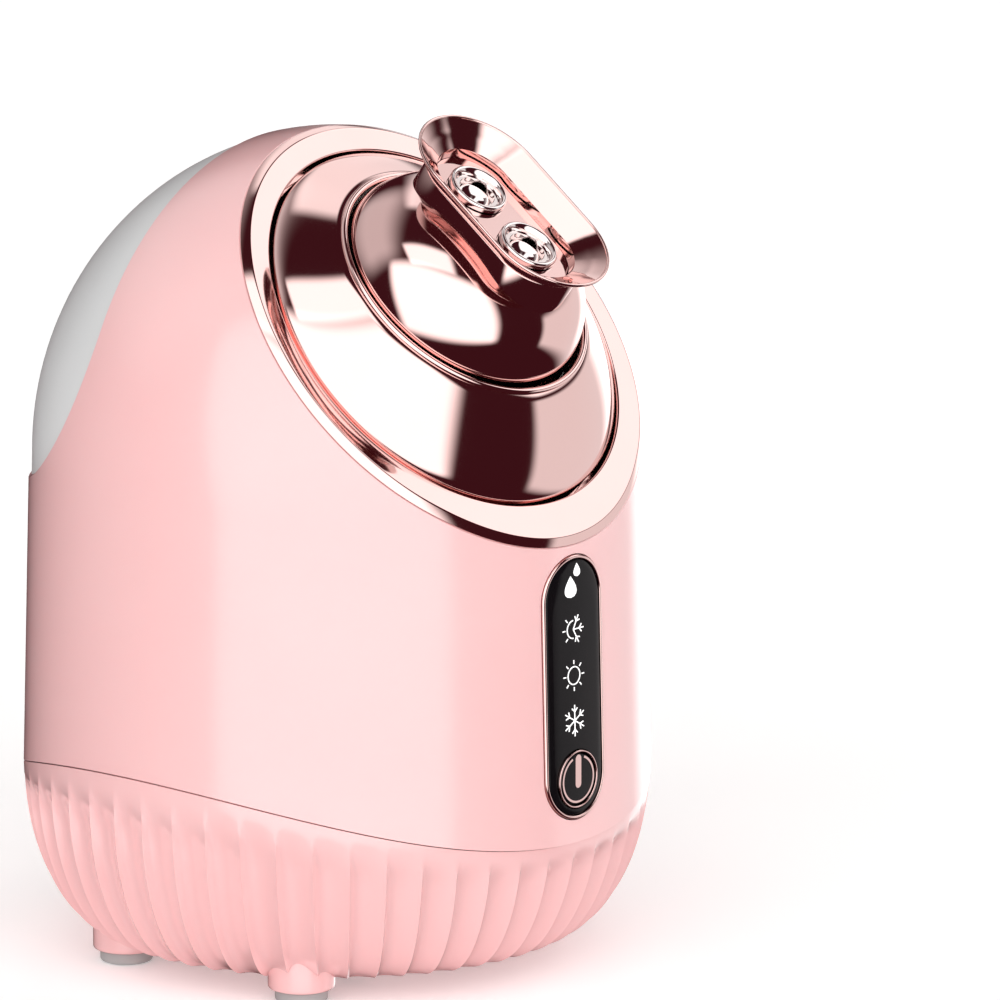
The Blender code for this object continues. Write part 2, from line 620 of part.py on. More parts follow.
def build_dock(stand, finish):
    floor = DOCK_FLOOR
    outer = DOCK_R + 0.0022
    under = floor - 0.0020
    spout = floor - 0.0100
    profile = [(0.0030, spout), (0.0042, spout), (0.0042, under), (outer, under), (outer, DOCK_TOP),
               (DOCK_R, DOCK_TOP), (DOCK_R, floor), (0.0030, floor)]
    add_object("dock_cup", turned(profile, 24, closed=True, centre=(0.0, NECK_Y)), stand, finish)
    post = [(0.0014, floor - 0.0080), (0.0014, floor + 0.0016), (0.0010, floor + 0.0018)]
    add_object("valve_post", turned(post, 16, centre=(0.0, NECK_Y)), stand, finish)


# ---------------------------------------------------------------- inside the base
def tube(name, points, outer, parent, finish, steps=4):
    """A hose or pipe: a poly curve through a smooth route, with its ends filled."""
    curve = bpy.data.curves.new(name, "CURVE")
    curve.dimensions = "3D"
    curve.bevel_depth = outer
    curve.bevel_resolution = 2
    curve.use_fill_caps = True
    knots = [Vector(p) for p in points]
    route = []
    padded = [knots[0] * 2 - knots[1]] + knots + [knots[-1] * 2 - knots[-2]]
    for k in range(1, len(padded) - 2):
        a, b, c, d = padded[k - 1:k + 3]
        for i in range(steps):
            t = i / steps
            route.append(0.5 * (2 * b + (c - a) * t + (2 * a - 5 * b + 4 * c - d) * t * t
                                + (3 * b - a - 3 * c + d) * t ** 3))
    route.append(knots[-1])
    spline = curve.splines.new("POLY")
    spline.points.add(len(route) - 1)
    for point, place in zip(spline.points, route):
        point.co = (*place, 1.0)
    curve.materials.append(finish)
    pipe = bpy.data.objects.new(name, curve)
    bpy.context.scene.collection.objects.link(pipe)
    pipe.parent = parent
    return pipe


def build_inside(stand, fan, board, steel, white, brass, grey, amber):
    power_board = rounded_block((0.0700, 0.0480, 0.0016), (0.0, 0.0280, 0.0150), 0.003)
    add_object("power_board", power_board, stand, board)
    transformer = rounded_block((0.0240, 0.0200, 0.0170), (-0.018, 0.026, 0.0246), 0.002)
    add_object("transformer", transformer, stand, amber)
    can = [(0.0055, 0.0161), (0.0060, 0.0166), (0.0060, 0.0330), (0.0055, 0.0336)]
    add_object("capacitor", turned(can, 24, centre=(0.018, 0.020)), stand, grey)
    boiler = [(0.0210, 0.0440), (0.0210, 0.0760), (0.0060, 0.0880), (0.0060, 0.0940), (0.0045, 0.0940),
              (0.0045, 0.0865), (0.0190, 0.0750), (0.0190, 0.0470), (0.0045, 0.0470), (0.0045, 0.0440)]
    hot = (-0.030, -0.012)
    cold = (0.030, -0.012)
    add_object("boiler", turned(boiler, 24, closed=True, centre=hot), stand, steel)
    heater = [(0.0080, 0.0380), (0.0170, 0.0380), (0.0170, 0.0434), (0.0080, 0.0434)]
    add_object("heater_ring", turned(heater, 24, closed=True, centre=hot), stand, brass)
    thermostat = rounded_block((0.0120, 0.0060, 0.0080), (hot[0], hot[1] - 0.0246, 0.060), 0.001)
    add_object("thermostat", thermostat, stand, grey)
    cup = [(0.0110, 0.0500), (0.0180, 0.0500), (0.0180, 0.0800), (0.0060, 0.0880), (0.0060, 0.0940),
           (0.0045, 0.0940), (0.0045, 0.0868), (0.0160, 0.0790), (0.0160, 0.0520), (0.0110, 0.0520)]
    add_object("atomiser_cup", turned(cup, 24, closed=True, centre=cold), stand, white)
    add_object("atomiser_disc", turned([(0.0105, 0.0504), (0.0105, 0.0516)], 24, centre=cold), stand, steel)
    for name, spot, side in (("steam_duct", hot, -1), ("mist_duct", cold, 1)):
        route = [(spot[0], spot[1], 0.0955), (spot[0], spot[1], 0.1010), (side * 0.022, -0.016, 0.1160),
                 (side * 0.012, -0.022, 0.1300), (side * 0.009, -0.026, 0.1400)]
        tube(name, route, DUCT_R, stand, white)
    for name, spot, side in (("boiler_feed", hot, -1), ("atomiser_feed", cold, 1)):
        route = [(side * 0.0045, 0.0495, 0.0950), (side * 0.0080, 0.0440, 0.0860),
                 (side * 0.0180, 0.0300, 0.0640), (spot[0], spot[1] + 0.0270, 0.0560)]
        tube(name, route, FEED_R, stand, white)
    feed_tee = rounded_block((0.0150, 0.0120, 0.0060), (0.0, NECK_Y, 0.0975), 0.002)
    add_object("feed_tee", feed_tee, stand, white)
    frame = rounded_block((0.0300, 0.0300, 0.0090), (0.0, 0.0, 0.0), 0.003)
    housing = add_object("fan_frame", frame, fan, grey)
    combine(housing, cutter("cut_fan", turned([(0.0138, -0.02), (0.0138, 0.02)], 32), fan))
    add_object("fan_motor", turned([(0.0046, -0.0100), (0.0046, -0.0044)], 20), fan, grey)
    build_impeller(fan, grey)
    plug = rounded_block((0.0220, 0.0140, 0.0140), (0.0, 0.0, 0.0), 0.004)
    place = Matrix.Translation((0.0, INLET_Y, INLET_Z))
    inlet = add_object("power_inlet", plug, stand, grey, place=place)
    recess = rounded_block((0.0170, 0.0140, 0.0095), (0.0, 0.0028, 0.0), 0.0)
    combine(inlet, cutter("cut_socket", recess, stand, place))
    for name, side in (("inlet_pin_left", -1), ("inlet_pin_right", 1)):
        pin = loft([[Vector((side * 0.0043 + p.x, INLET_Y + y, INLET_Z + p.y))
                     for p in circle(0.0011, 0.0, 16)] for y in (-0.0038, 0.0040)])
        add_object(name, pin, stand, brass)


def build_impeller(fan, finish):
    hub_form = [(0.0045, -0.0040), (0.0052, -0.0034), (0.0052, 0.0034), (0.0045, 0.0040)]
    hub = add_object("fan_impeller", turned(hub_form, 24), fan, finish)
    middle = (0.0086, 0.0, 0.0)
    pitch = Matrix.Rotation(math.radians(35.0), 3, "X")
    for k in range(BLADES):
        blade = block((0.0084, 0.0010, 0.0060), middle)
        turn = Matrix.Rotation(2.0 * math.pi * k / BLADES, 3, "Z")
        bmesh.ops.rotate(blade, cent=middle, matrix=pitch, verts=blade.verts)
        bmesh.ops.rotate(blade, cent=(0, 0, 0), matrix=turn, verts=blade.verts)
        combine(hub, cutter("blade_%d" % k, blade, fan), "UNION")


# ---------------------------------------------------------------- assembly
def build():
    clear_scene()
    pink = finish_material("pink_moulding", (0.92, 0.60, 0.60), 0.28)
    rose = finish_material("rose_gold", (0.86, 0.56, 0.52), 0.08, 1.0)
    bright = finish_material("bright_chrome", (0.86, 0.78, 0.77), 0.08, 1.0)
    black = finish_material("black_lens", (0.006, 0.006, 0.007), 0.08)
    smoke = finish_material("clear_tank", (0.86, 0.88, 0.89), 0.18, 0.0, 0.55)
    rubber = finish_material("grey_rubber", (0.32, 0.31, 0.32), 0.7)
    steel = finish_material("steel", (0.62, 0.62, 0.63), 0.3, 1.0)
    brass = finish_material("brass", (0.78, 0.60, 0.32), 0.3, 1.0)
    white = finish_material("white_nylon", (0.82, 0.82, 0.80), 0.45)
    grey = finish_material("dark_moulding", (0.10, 0.10, 0.11), 0.5)
    green = finish_material("circuit_board", (0.02, 0.16, 0.07), 0.4)
    amber = finish_material("transformer_tape", (0.55, 0.38, 0.10), 0.5)

    stand = add_frame("stand", Matrix.Translation((0.0, AXIS_Y, -FLOOR_Z)))
    face = add_frame("face_axis", face_matrix(), stand)
    tilt_axis = Matrix.Translation((0.0, BALL_SHIFT, BALL_LIFT))
    lean = Matrix.Rotation(-(HORN_TILT - FACE_TILT), 4, "X")
    head = add_frame("tilt_axis", tilt_axis @ lean, face)
    button_centre = Matrix.Translation((0.0, panel_front(0.0, BUTTON_Z, 0.0), BUTTON_Z))
    button = add_frame("button_axis", button_centre @ Matrix.Rotation(0.5 * math.pi, 4, "X"), stand)
    tank = add_frame("tank_slide", Matrix.Identity(4), stand)
    cap = add_frame("cap_axis", Matrix.Translation((0.0, NECK_Y, NECK_LOW)), tank)
    fan = add_frame("fan_axis", Matrix.Translation((0.030, -0.012, 0.0360)), stand)

    build_body_shell(stand, face, pink)
    build_base_bowl(stand, pink)
    build_bottom_cover(stand, pink, steel)
    build_feet(stand, rubber)
    build_face_ring(face, rose)
    build_turret(face, rose)
    build_swivel_race(face, white)
    build_head_cradle(face, white)
    build_ball_head(head, rose)
    build_horn(head, rose)
    build_nozzle_plate(head, rose, bright)
    build_panel(stand, rose, black, green)
    build_button(button, rose, black, grey)
    build_tank(tank, smoke)
    build_tank_cap(cap, white, rubber, steel)
    build_dock(stand, white)
    build_inside(stand, fan, green, steel, white, brass, grey, amber)


build()
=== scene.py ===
# %% [markdown]
# # A facial steamer: pink body, rose-gold spray head
#
# The object is a countertop steamer. A round pink body stands on a fluted base. A slanted face
# carries a polished turret, a ball that tilts in it, and an oval horn with two outlets. A frosted
# tank lifts off the back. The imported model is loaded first. It is the fixed frame that every finer
# piece is placed by, and each piece rides on one of its bodies.

# %% Load the frame
import json
import math

import bmesh
import bpy
from mathutils import Matrix, Vector


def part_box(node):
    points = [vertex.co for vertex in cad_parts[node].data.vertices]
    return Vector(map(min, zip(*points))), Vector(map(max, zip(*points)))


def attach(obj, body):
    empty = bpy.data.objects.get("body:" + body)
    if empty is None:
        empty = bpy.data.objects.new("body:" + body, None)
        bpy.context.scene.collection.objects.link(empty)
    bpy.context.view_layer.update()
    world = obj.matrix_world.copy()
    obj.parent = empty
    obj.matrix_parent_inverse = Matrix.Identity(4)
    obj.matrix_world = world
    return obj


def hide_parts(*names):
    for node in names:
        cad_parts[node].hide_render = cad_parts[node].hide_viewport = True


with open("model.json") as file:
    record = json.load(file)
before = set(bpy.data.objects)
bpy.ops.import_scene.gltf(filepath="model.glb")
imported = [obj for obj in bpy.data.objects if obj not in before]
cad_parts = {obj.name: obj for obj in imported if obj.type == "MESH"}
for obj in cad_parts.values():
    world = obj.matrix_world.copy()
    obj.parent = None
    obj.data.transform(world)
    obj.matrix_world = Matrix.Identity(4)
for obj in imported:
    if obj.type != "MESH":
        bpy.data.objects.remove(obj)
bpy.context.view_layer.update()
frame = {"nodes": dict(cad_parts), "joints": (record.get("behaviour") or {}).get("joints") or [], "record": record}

joints = {joint["name"]: joint for joint in frame["joints"]}

# %% [markdown]
# ## Measures
#
# The body is a turned form, so one radius, one axis and one seam height place nearly everything.
# They are read from the frame's own boxes and joints where those give them. The few that no box
# shows, such as how the wall tapers, are named here in metres.

# %% Read the main measures
bowl_low, bowl_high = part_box("base_bowl")
BODY_R = 0.5 * (bowl_high[0] - bowl_low[0]) - 0.00003
AXIS_Y = 0.5 * (bowl_high[1] + bowl_low[1])
SEAM_Z = 0.0500
SEAM_RISE = 0.117 * BODY_R
SEAM_DROP = 0.002 * BODY_R
TAPER = 0.025
GAP = 0.0003
WALL = 0.0025
CENTRE_R = 0.0004
DOME_Z = SEAM_Z + BODY_R
DOME_R = BODY_R * (1.0 - TAPER)
DOME_H = 1.031 * BODY_R
print("radius mm", round(BODY_R * 1000, 2), "axis y mm", round(AXIS_Y * 1000, 2))

# %% Frames of the slanted face and of the tilting head
face_point = Vector(joints["turret_swivel"]["pos_m"])
face_normal = Vector(joints["turret_swivel"]["axis"]).normalized()
ball_point = Vector(joints["head_tilt"]["pos_m"])
HORN_TILT = math.radians(53.5)


def axes_at(origin, outward):
    """A frame whose x is the object's x and whose z points outward."""
    outward = outward.normalized()
    across = Vector((1.0, 0.0, 0.0))
    matrix = Matrix.Identity(4)
    matrix.col[1] = (*outward.cross(across), 0.0)
    matrix.col[2] = (*outward, 0.0)
    matrix.col[3] = (*origin, 1.0)
    return matrix


face = axes_at(face_point, face_normal)
head = axes_at(ball_point, Vector((0.0, -math.cos(HORN_TILT), math.sin(HORN_TILT))))
print("face leans", round(math.degrees(math.asin(face_normal.z)), 1), "degrees above level")

# %% [markdown]
# ## Tools of the bench
#
# Turned and lofted skins make all the round parts: rings of points, joined row by row. Corners of a
# turned section are rounded first, because a moulded or plated edge is never razor sharp and the
# small round is what catches the light.

# %% Rings, lofts and rounded sections
def loft(rings, closed=False, cap=True):
    bm = bmesh.new()
    rows = [[bm.verts.new(point) for point in ring] for ring in rings]
    pairs = list(zip(rows, rows[1:]))
    if closed:
        pairs.append((rows[-1], rows[0]))
    for low, high in pairs:
        for i in range(len(low)):
            j = (i + 1) % len(low)
            bm.faces.new((low[i], low[j], high[j], high[i]))
    if cap and not closed:
        bm.faces.new(list(reversed(rows[0])))
        bm.faces.new(rows[-1])
    return bm


def ring_points(radius, height, sides, centre=(0.0, 0.0)):
    step = 2.0 * math.pi / sides
    return [Vector((centre[0] + radius * math.cos(i * step),
                    centre[1] + radius * math.sin(i * step), height)) for i in range(sides)]


def rounded(section, radii, steps=4, closed=True):
    """The section with its corners rounded; radii maps a corner's number to its radius."""
    points = []
    count = len(section)
    for i, corner in enumerate(section):
        corner = Vector(corner)
        radius = radii.get(i, 0.0)
        if not radius or (not closed and i in (0, count - 1)):
            points.append(corner)
            continue
        before = Vector(section[i - 1]) - corner
        after = Vector(section[(i + 1) % count]) - corner
        start = corner + before.normalized() * min(radius, 0.49 * before.length)
        end = corner + after.normalized() * min(radius, 0.49 * after.length)
        for k in range(steps + 1):
            t = k / steps
            points.append(start * (1 - t) ** 2 + corner * 2 * t * (1 - t) + end * t * t)
    return points


def turned(section, sides=128, closed=True, centre=(0.0, 0.0)):
    return loft([ring_points(p[0], p[1], sides, centre) for p in section], closed)


def stadium(half, radius, height, arc=40):
    """An oval with straight sides along local y."""
    points = []
    for end in (1, -1):
        for i in range(arc + 1):
            angle = (0.0 if end > 0 else math.pi) + math.pi * i / arc
            points.append(Vector((radius * math.cos(angle),
                                  end * half + radius * math.sin(angle), height)))
    return points


def box_form(size, centre):
    bm = bmesh.new()
    bmesh.ops.create_cube(bm, size=1.0)
    bmesh.ops.scale(bm, vec=size, verts=bm.verts)
    bmesh.ops.translate(bm, vec=centre, verts=bm.verts)
    return bm


# %% Making a piece and cutting one form with others
def add_piece(name, form, finish, body, nodes=(), place=None, sharp=32.0):
    """A finished piece from a bmesh or a mesh, riding on its body and standing for its nodes."""
    if isinstance(form, bmesh.types.BMesh):
        bmesh.ops.recalc_face_normals(form, faces=form.faces)
        mesh = bpy.data.meshes.new(name)
        form.to_mesh(mesh)
        form.free()
        if place:
            mesh.transform(place)
        mesh.shade_smooth()
        mesh.set_sharp_from_angle(angle=math.radians(sharp))
    else:
        mesh = form
        mesh.name = name
    mesh.materials.clear()
    mesh.materials.append(finish)
    piece = bpy.data.objects.new(name, mesh)
    bpy.context.scene.collection.objects.link(piece)
    if nodes:
        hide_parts(*nodes)
    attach(piece, body)
    print(name, len(mesh.polygons), "faces")
    return piece


def temporary(form, place=None):
    bmesh.ops.recalc_face_normals(form, faces=form.faces)
    mesh = bpy.data.meshes.new("tool")
    form.to_mesh(mesh)
    form.free()
    if place:
        mesh.transform(place)
    item = bpy.data.objects.new("tool", mesh)
    bpy.context.scene.collection.objects.link(item)
    return item


def carve(blank, cuts, operation="DIFFERENCE"):
    """The blank with every cut taken away in turn; returns the object, tools removed."""
    for cut in cuts:
        modifier = blank.modifiers.new("cut", "BOOLEAN")
        modifier.operation = operation
        modifier.solver = "EXACT"
        modifier.object = cut
    graph = bpy.context.evaluated_depsgraph_get()
    mesh = bpy.data.meshes.new_from_object(blank.evaluated_get(graph))
    blank.modifiers.clear()
    blank.data = mesh
    for cut in cuts:
        bpy.data.objects.remove(cut, do_unlink=True)
    return blank


def polished_mesh(item, skin_normal, sharp=32.0):
    """Takes the mesh off a carved blank; where it lies on the turned skin it shades as that skin."""
    mesh = item.data
    mesh.shade_smooth()
    mesh.set_sharp_from_angle(angle=math.radians(sharp))
    shading = [corner.vector.copy() for corner in mesh.corner_normals]
    for face_part in mesh.polygons:
        exact = [skin_normal(mesh.vertices[v].co) for v in face_part.vertices]
        if all(exact):
            for k, loop in enumerate(face_part.loop_indices):
                shading[loop] = exact[k]
    mesh.normals_split_custom_set(shading)
    bpy.data.objects.remove(item, do_unlink=True)
    return mesh


# %% [markdown]
# ## Finishes
#
# Each finish is one Principled shader with its detail from noise nodes. Moulded plastic gets a faint
# mottling and orange peel. Plating is a mirror with a few softer patches, as polished plating on
# plastic has. The frosted tank scatters light in its skin.

# %% Shader helpers
def shader_of(material):
    return material.node_tree.nodes["Principled BSDF"]


def new_finish(name, colour, rough, metal=0.0):
    material = bpy.data.materials.new(name)
    material.use_nodes = True
    shader = shader_of(material)
    shader.inputs["Base Color"].default_value = (*colour, 1.0)
    shader.inputs["Roughness"].default_value = rough
    shader.inputs["Metallic"].default_value = metal
    return material, shader


def mottle(material, shader, colours, scale, detail=3.0):
    """Two close colours mixed by a soft noise."""
    tree = material.node_tree
    place = tree.nodes.new("ShaderNodeTexCoord")
    noise = tree.nodes.new("ShaderNodeTexNoise")
    noise.inputs["Scale"].default_value = scale
    noise.inputs["Detail"].default_value = detail
    ramp = tree.nodes.new("ShaderNodeValToRGB")
    ramp.color_ramp.elements[0].color = (*colours[0], 1.0)
    ramp.color_ramp.elements[1].color = (*colours[1], 1.0)
    ramp.color_ramp.elements[0].position = 0.35
    ramp.color_ramp.elements[1].position = 0.65
    tree.links.new(place.outputs["Object"], noise.inputs["Vector"])
    tree.links.new(noise.outputs["Fac"], ramp.inputs["Fac"])
    tree.links.new(ramp.outputs["Color"], shader.inputs["Base Color"])
    return place


def gloss_variation(material, shader, place, low, high, scale):
    tree = material.node_tree
    noise = tree.nodes.new("ShaderNodeTexNoise")
    noise.inputs["Scale"].default_value = scale
    spread = tree.nodes.new("ShaderNodeMapRange")
    spread.inputs["To Min"].default_value = low
    spread.inputs["To Max"].default_value = high
    tree.links.new(place.outputs["Object"], noise.inputs["Vector"])
    tree.links.new(noise.outputs["Fac"], spread.inputs["Value"])
    tree.links.new(spread.outputs["Result"], shader.inputs["Roughness"])


def fine_relief(material, shader, place, scale, distance, strength=1.0):
    tree = material.node_tree
    noise = tree.nodes.new("ShaderNodeTexNoise")
    noise.inputs["Scale"].default_value = scale
    noise.inputs["Detail"].default_value = 2.0
    bump = tree.nodes.new("ShaderNodeBump")
    bump.inputs["Distance"].default_value = distance
    bump.inputs["Strength"].default_value = strength
    tree.links.new(place.outputs["Object"], noise.inputs["Vector"])
    tree.links.new(noise.outputs["Fac"], bump.inputs["Height"])
    tree.links.new(bump.outputs["Normal"], shader.inputs["Normal"])


def finish(name, colours, rough, metal=0.0, scale=25.0, relief=None):
    """A finish with mottled colour, uneven gloss and, if asked, a fine relief (scale, depth)."""
    material, shader = new_finish(name, colours[0], rough[0], metal)
    place = mottle(material, shader, colours, scale)
    gloss_variation(material, shader, place, rough[0], rough[1], scale * 2.0)
    if relief:
        fine_relief(material, shader, place, relief[0], relief[1])
    return material


# %% Mix the finishes
# Each row: name, two close colours, roughness range, metal, mottling scale, relief (scale, depth).
recipes = (
    ("pink_moulding", ((0.945, 0.560, 0.562), (0.955, 0.578, 0.578)), (0.27, 0.33), 0.0, 18.0,
     (900.0, 0.00001)),
    ("rose_gold", ((0.930, 0.660, 0.630), (0.940, 0.680, 0.650)), (0.045, 0.075), 1.0, 30.0),
    ("bright_chrome", ((0.90, 0.84, 0.83), (0.88, 0.81, 0.80)), (0.04, 0.08), 1.0, 40.0),
    ("black_lens", ((0.004, 0.004, 0.005), (0.006, 0.005, 0.006)), (0.05, 0.09), 0.0, 20.0),
    ("clear_tank", ((0.72, 0.735, 0.74), (0.76, 0.77, 0.775)), (0.26, 0.34), 0.0, 14.0,
     (1400.0, 0.00001)),
    ("grey_rubber", ((0.40, 0.39, 0.39), (0.46, 0.45, 0.45)), (0.6, 0.75), 0.0, 60.0,
     (1600.0, 0.00003)),
    ("steel", ((0.58, 0.58, 0.59), (0.66, 0.66, 0.67)), (0.25, 0.38), 1.0, 60.0),
    ("brass", ((0.76, 0.57, 0.30), (0.82, 0.64, 0.36)), (0.2, 0.35), 1.0, 60.0),
    ("white_nylon", ((0.78, 0.78, 0.76), (0.83, 0.83, 0.81)), (0.4, 0.5), 0.0, 40.0,
     (1200.0, 0.00002)),
    ("dark_moulding", ((0.030, 0.030, 0.033), (0.045, 0.045, 0.048)), (0.42, 0.55), 0.0, 50.0,
     (1500.0, 0.00003)),
    ("circuit_board", ((0.015, 0.13, 0.05), (0.03, 0.19, 0.08)), (0.3, 0.4), 0.0, 120.0),
    ("winding_tape", ((0.50, 0.34, 0.08), (0.60, 0.42, 0.14)), (0.35, 0.5), 0.0, 80.0),
)
finishes = {recipe[0]: finish(*recipe) for recipe in recipes}
pink, rose, bright = finishes["pink_moulding"], finishes["rose_gold"], finishes["bright_chrome"]
black, tank_finish, rubber = finishes["black_lens"], finishes["clear_tank"], finishes["grey_rubber"]
# The marks' white print; below it is also given a faint painted glow, light that the real print does not give off.
print_with_painted_glow = finish("white_print_painted_glow", ((0.90, 0.90, 0.90), (0.95, 0.95, 0.95)), (0.35, 0.45), scale=50.0)

# What some finishes have besides: a clear coat, scattering under the skin, or, on the white print of the marks, a
# faint painted glow, though the marks are no lamp.
extras = (
    (pink, {"Coat Weight": 1.0, "Coat IOR": 1.62, "Coat Roughness": 0.10, "Subsurface Weight": 0.10,
            "Subsurface Radius": (0.004, 0.002, 0.002)}),
    (black, {"Specular IOR Level": 0.18}),
    (tank_finish, {"Subsurface Weight": 0.35, "Subsurface Radius": (0.006, 0.006, 0.006),
                   "Coat Weight": 0.25}),
    (print_with_painted_glow, {"Emission Color": (1.0, 1.0, 1.0, 1.0), "Emission Strength": 0.55}),
)
for material, values in extras:
    for socket, value in values.items():
        shader_of(material).inputs[socket].default_value = value
print(len(finishes) + 1, "finishes mixed")

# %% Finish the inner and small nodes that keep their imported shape
node_slots = {part["node"]: part["material_slot"] for part in frame["record"]["subparts"]}
for name, node in frame["nodes"].items():
    material = finishes[node_slots[name]]
    if not node.data.materials:
        node.data.materials.append(material)
    for slot in node.material_slots:
        slot.material = material
print("refinished", len(frame["nodes"]), "nodes")

# %% [markdown]
# ## The body skin
#
# The body is one moulding: a slightly tapering wall that turns into a dome. It could be modelled as a
# subdivided cage, but a turned form is exact, so its highlight runs clean from foot to crown. The
# form is hollowed, then cut by the slanted face and the turret's recess, by the tank's space and the
# well of its dock, and by the window of the control panel. A cut leaves odd little faces along its
# edge, so the skin's own smooth normals are written back after it.

# %% The turned profile and its normals
NORMAL_EASE = 0.020


def seam_height(angle):
    """The seam's height; the angle is measured from the front."""
    return SEAM_Z - SEAM_RISE * math.cos(2.0 * angle) - SEAM_DROP * math.cos(angle)


def body_radius(z, inset=0.0):
    if z <= DOME_Z:
        return BODY_R * (1.0 - TAPER * (z - SEAM_Z) / BODY_R) - inset
    share = min((z - DOME_Z) / (DOME_H - inset), 1.0)
    return (DOME_R - inset) * math.sqrt(1.0 - share * share)


def skin_normal_for(inset):
    """A function that gives the turned skin's normal at a point on it, or nothing off it."""
    def normal_at(point):
        x, y = point.x, point.y - AXIS_Y
        r = math.hypot(x, y)
        if r < 0.002 or abs(r - body_radius(point.z, inset)) > 0.00006:
            return None
        if point.z <= DOME_Z:
            ease = min(max((DOME_Z - point.z) / NORMAL_EASE, 0.0), 1.0)
            return Vector((x / r, y / r, TAPER * ease)).normalized()
        radial = r / (DOME_R - inset) ** 2
        upright = (point.z - DOME_Z) / (DOME_H - inset) ** 2
        return Vector((x / r * radial, y / r * radial, upright)).normalized()
    return normal_at


def body_form(inset, sides, wall_rows, dome_rows, shift=0.0):
    angles = [2.0 * math.pi * i / sides for i in range(sides)]
    rings = []
    for row in range(wall_rows + 1):
        ring = []
        for angle in angles:
            low = seam_height(angle) + shift
            z = low + (DOME_Z - low) * row / wall_rows
            r = body_radius(z, inset)
            ring.append(Vector((r * math.sin(angle), AXIS_Y - r * math.cos(angle), z)))
        rings.append(ring)
    edge = rings[0]
    for reach in (0.92, 0.3):
        level = SEAM_Z - SEAM_RISE + shift
        rings.insert(0, [Vector((p.x * reach, AXIS_Y + (p.y - AXIS_Y) * reach,
                                 p.z if reach > 0.5 else level)) for p in edge])
    for row in range(1, dome_rows + 1):
        lift = 0.5 * math.pi * row / (dome_rows + 0.5)
        z = DOME_Z + (DOME_H - inset) * math.sin(lift)
        r = (DOME_R - inset) * math.cos(lift)
        rings.append([Vector((r * math.sin(a), AXIS_Y - r * math.cos(a), z)) for a in angles])
    return loft(rings)


# %% The tank's space and the panel's window
TANK_FRONT = 0.26 * BODY_R
TANK_BEND = 0.60 * BODY_R
TANK_LOW = SEAM_Z + 0.90 * BODY_R
RING_DROP = 0.0016
RECESS_R = 0.0536
MOUTH_R = RECESS_R + 0.0021


def tank_prism(grow=0.0, half=0.1, steps=28):
    """The tank's side view, flat in front with one large bend below, drawn out across the body."""
    top, back = 0.26, 0.12
    centre = (TANK_FRONT + TANK_BEND, TANK_LOW + TANK_BEND)
    radius = TANK_BEND + grow
    outline = [(TANK_FRONT - grow, top)]
    for i in range(steps + 1):
        angle = math.pi + 0.5 * math.pi * i / steps
        outline.append((centre[0] + radius * math.cos(angle), centre[1] + radius * math.sin(angle)))
    outline += [(back, TANK_LOW - grow), (back, top)]
    return loft([[Vector((x, AXIS_Y + y, z)) for y, z in outline] for x in (-half, half)])


lens_low, lens_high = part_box("panel_lens")
PANEL_Z = 0.5 * (lens_low[2] + lens_high[2])
PANEL_HALF_H = 0.5 * (lens_high[2] - lens_low[2]) + 0.0005
PANEL_HALF_W = lens_high[0] + 0.0005


def panel_prism(grow, near, far):
    outline = stadium(PANEL_HALF_H - PANEL_HALF_W, PANEL_HALF_W + grow, 0.0, arc=24)
    return loft([[Vector((p.x, AXIS_Y + y, PANEL_Z + p.y)) for p in outline] for y in (near, far)])


print("panel half size mm", round(PANEL_HALF_W * 1000, 1), round(PANEL_HALF_H * 1000, 1))

# %% Carve the body
above_face = temporary(box_form((0.3, 0.3, 0.1), (0.0, 0.0, 0.05 - RING_DROP - GAP)), face)
hollow = temporary(body_form(WALL, 96, 6, 14, shift=-0.004))
hollow_cuts = [temporary(box_form((0.3, 0.3, 0.1), (0.0, 0.0, 0.05 - RING_DROP - GAP - WALL)), face),
               temporary(tank_prism(WALL, 0.11))]
hollow = carve(hollow, hollow_cuts)
mouth = temporary(turned([(MOUTH_R, -0.02), (MOUTH_R, 0.01)], 128, closed=False), face)
window = temporary(panel_prism(0.0010, -0.10, -0.06))
dock_low, dock_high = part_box("dock_cup")
dock_y = 0.5 * (dock_low[1] + dock_high[1])
well_r = 0.5 * (dock_high[0] - dock_low[0]) + GAP
well = temporary(turned([(well_r, dock_low[2] - 0.002), (well_r, dock_high[2] + 0.02)], 64,
                        closed=False, centre=(0.0, dock_y)))
body = carve(temporary(body_form(0.0, 200, 22, 44)),
             [above_face, temporary(tank_prism()), hollow, mouth, window, well])
add_piece("body_skin", polished_mesh(body, skin_normal_for(0.0)), pink, "housing", ["body_shell"])

# %% [markdown]
# ## The fluted base
#
# Below a fine wavy seam the base is a bowl with shallow upright flutes, like a pressed glass
# dish. Each flute is scooped, so the lines between them are crisp. The scoop's depth fades in just
# under the seam and out again at the underside. All of it is one formula on a fine grid.

# %% Bowl with flutes
FLUTES = 54
FLUTE_DEPTH = 0.0030
BOWL_H = 0.545 * BODY_R
BOWL_FLAT_R = 0.70 * BODY_R
BOWL_Z = SEAM_Z - BOWL_H
ACROSS = 14
cover_low, cover_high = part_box("bottom_cover")
HOLE_R = 0.5 * (cover_high[0] - cover_low[0]) + GAP


def bowl_radius(z):
    share = min(max((SEAM_Z - z) / BOWL_H, 0.0), 1.0)
    return BOWL_FLAT_R + (BODY_R - BOWL_FLAT_R) * math.sqrt(1.0 - share * share)


def flute_scoop(across, down):
    """How deep the skin lies under the ridge line, 0 to 1."""
    fade = min(max((down - 0.035) / 0.16, 0.0), 1.0)
    fade = fade * fade * (3.0 - 2.0 * fade) * (1.0 - max(down - 0.86, 0.0) / 0.14 * 0.75)
    return fade * math.sin(math.pi * across ** 0.65) ** 0.9


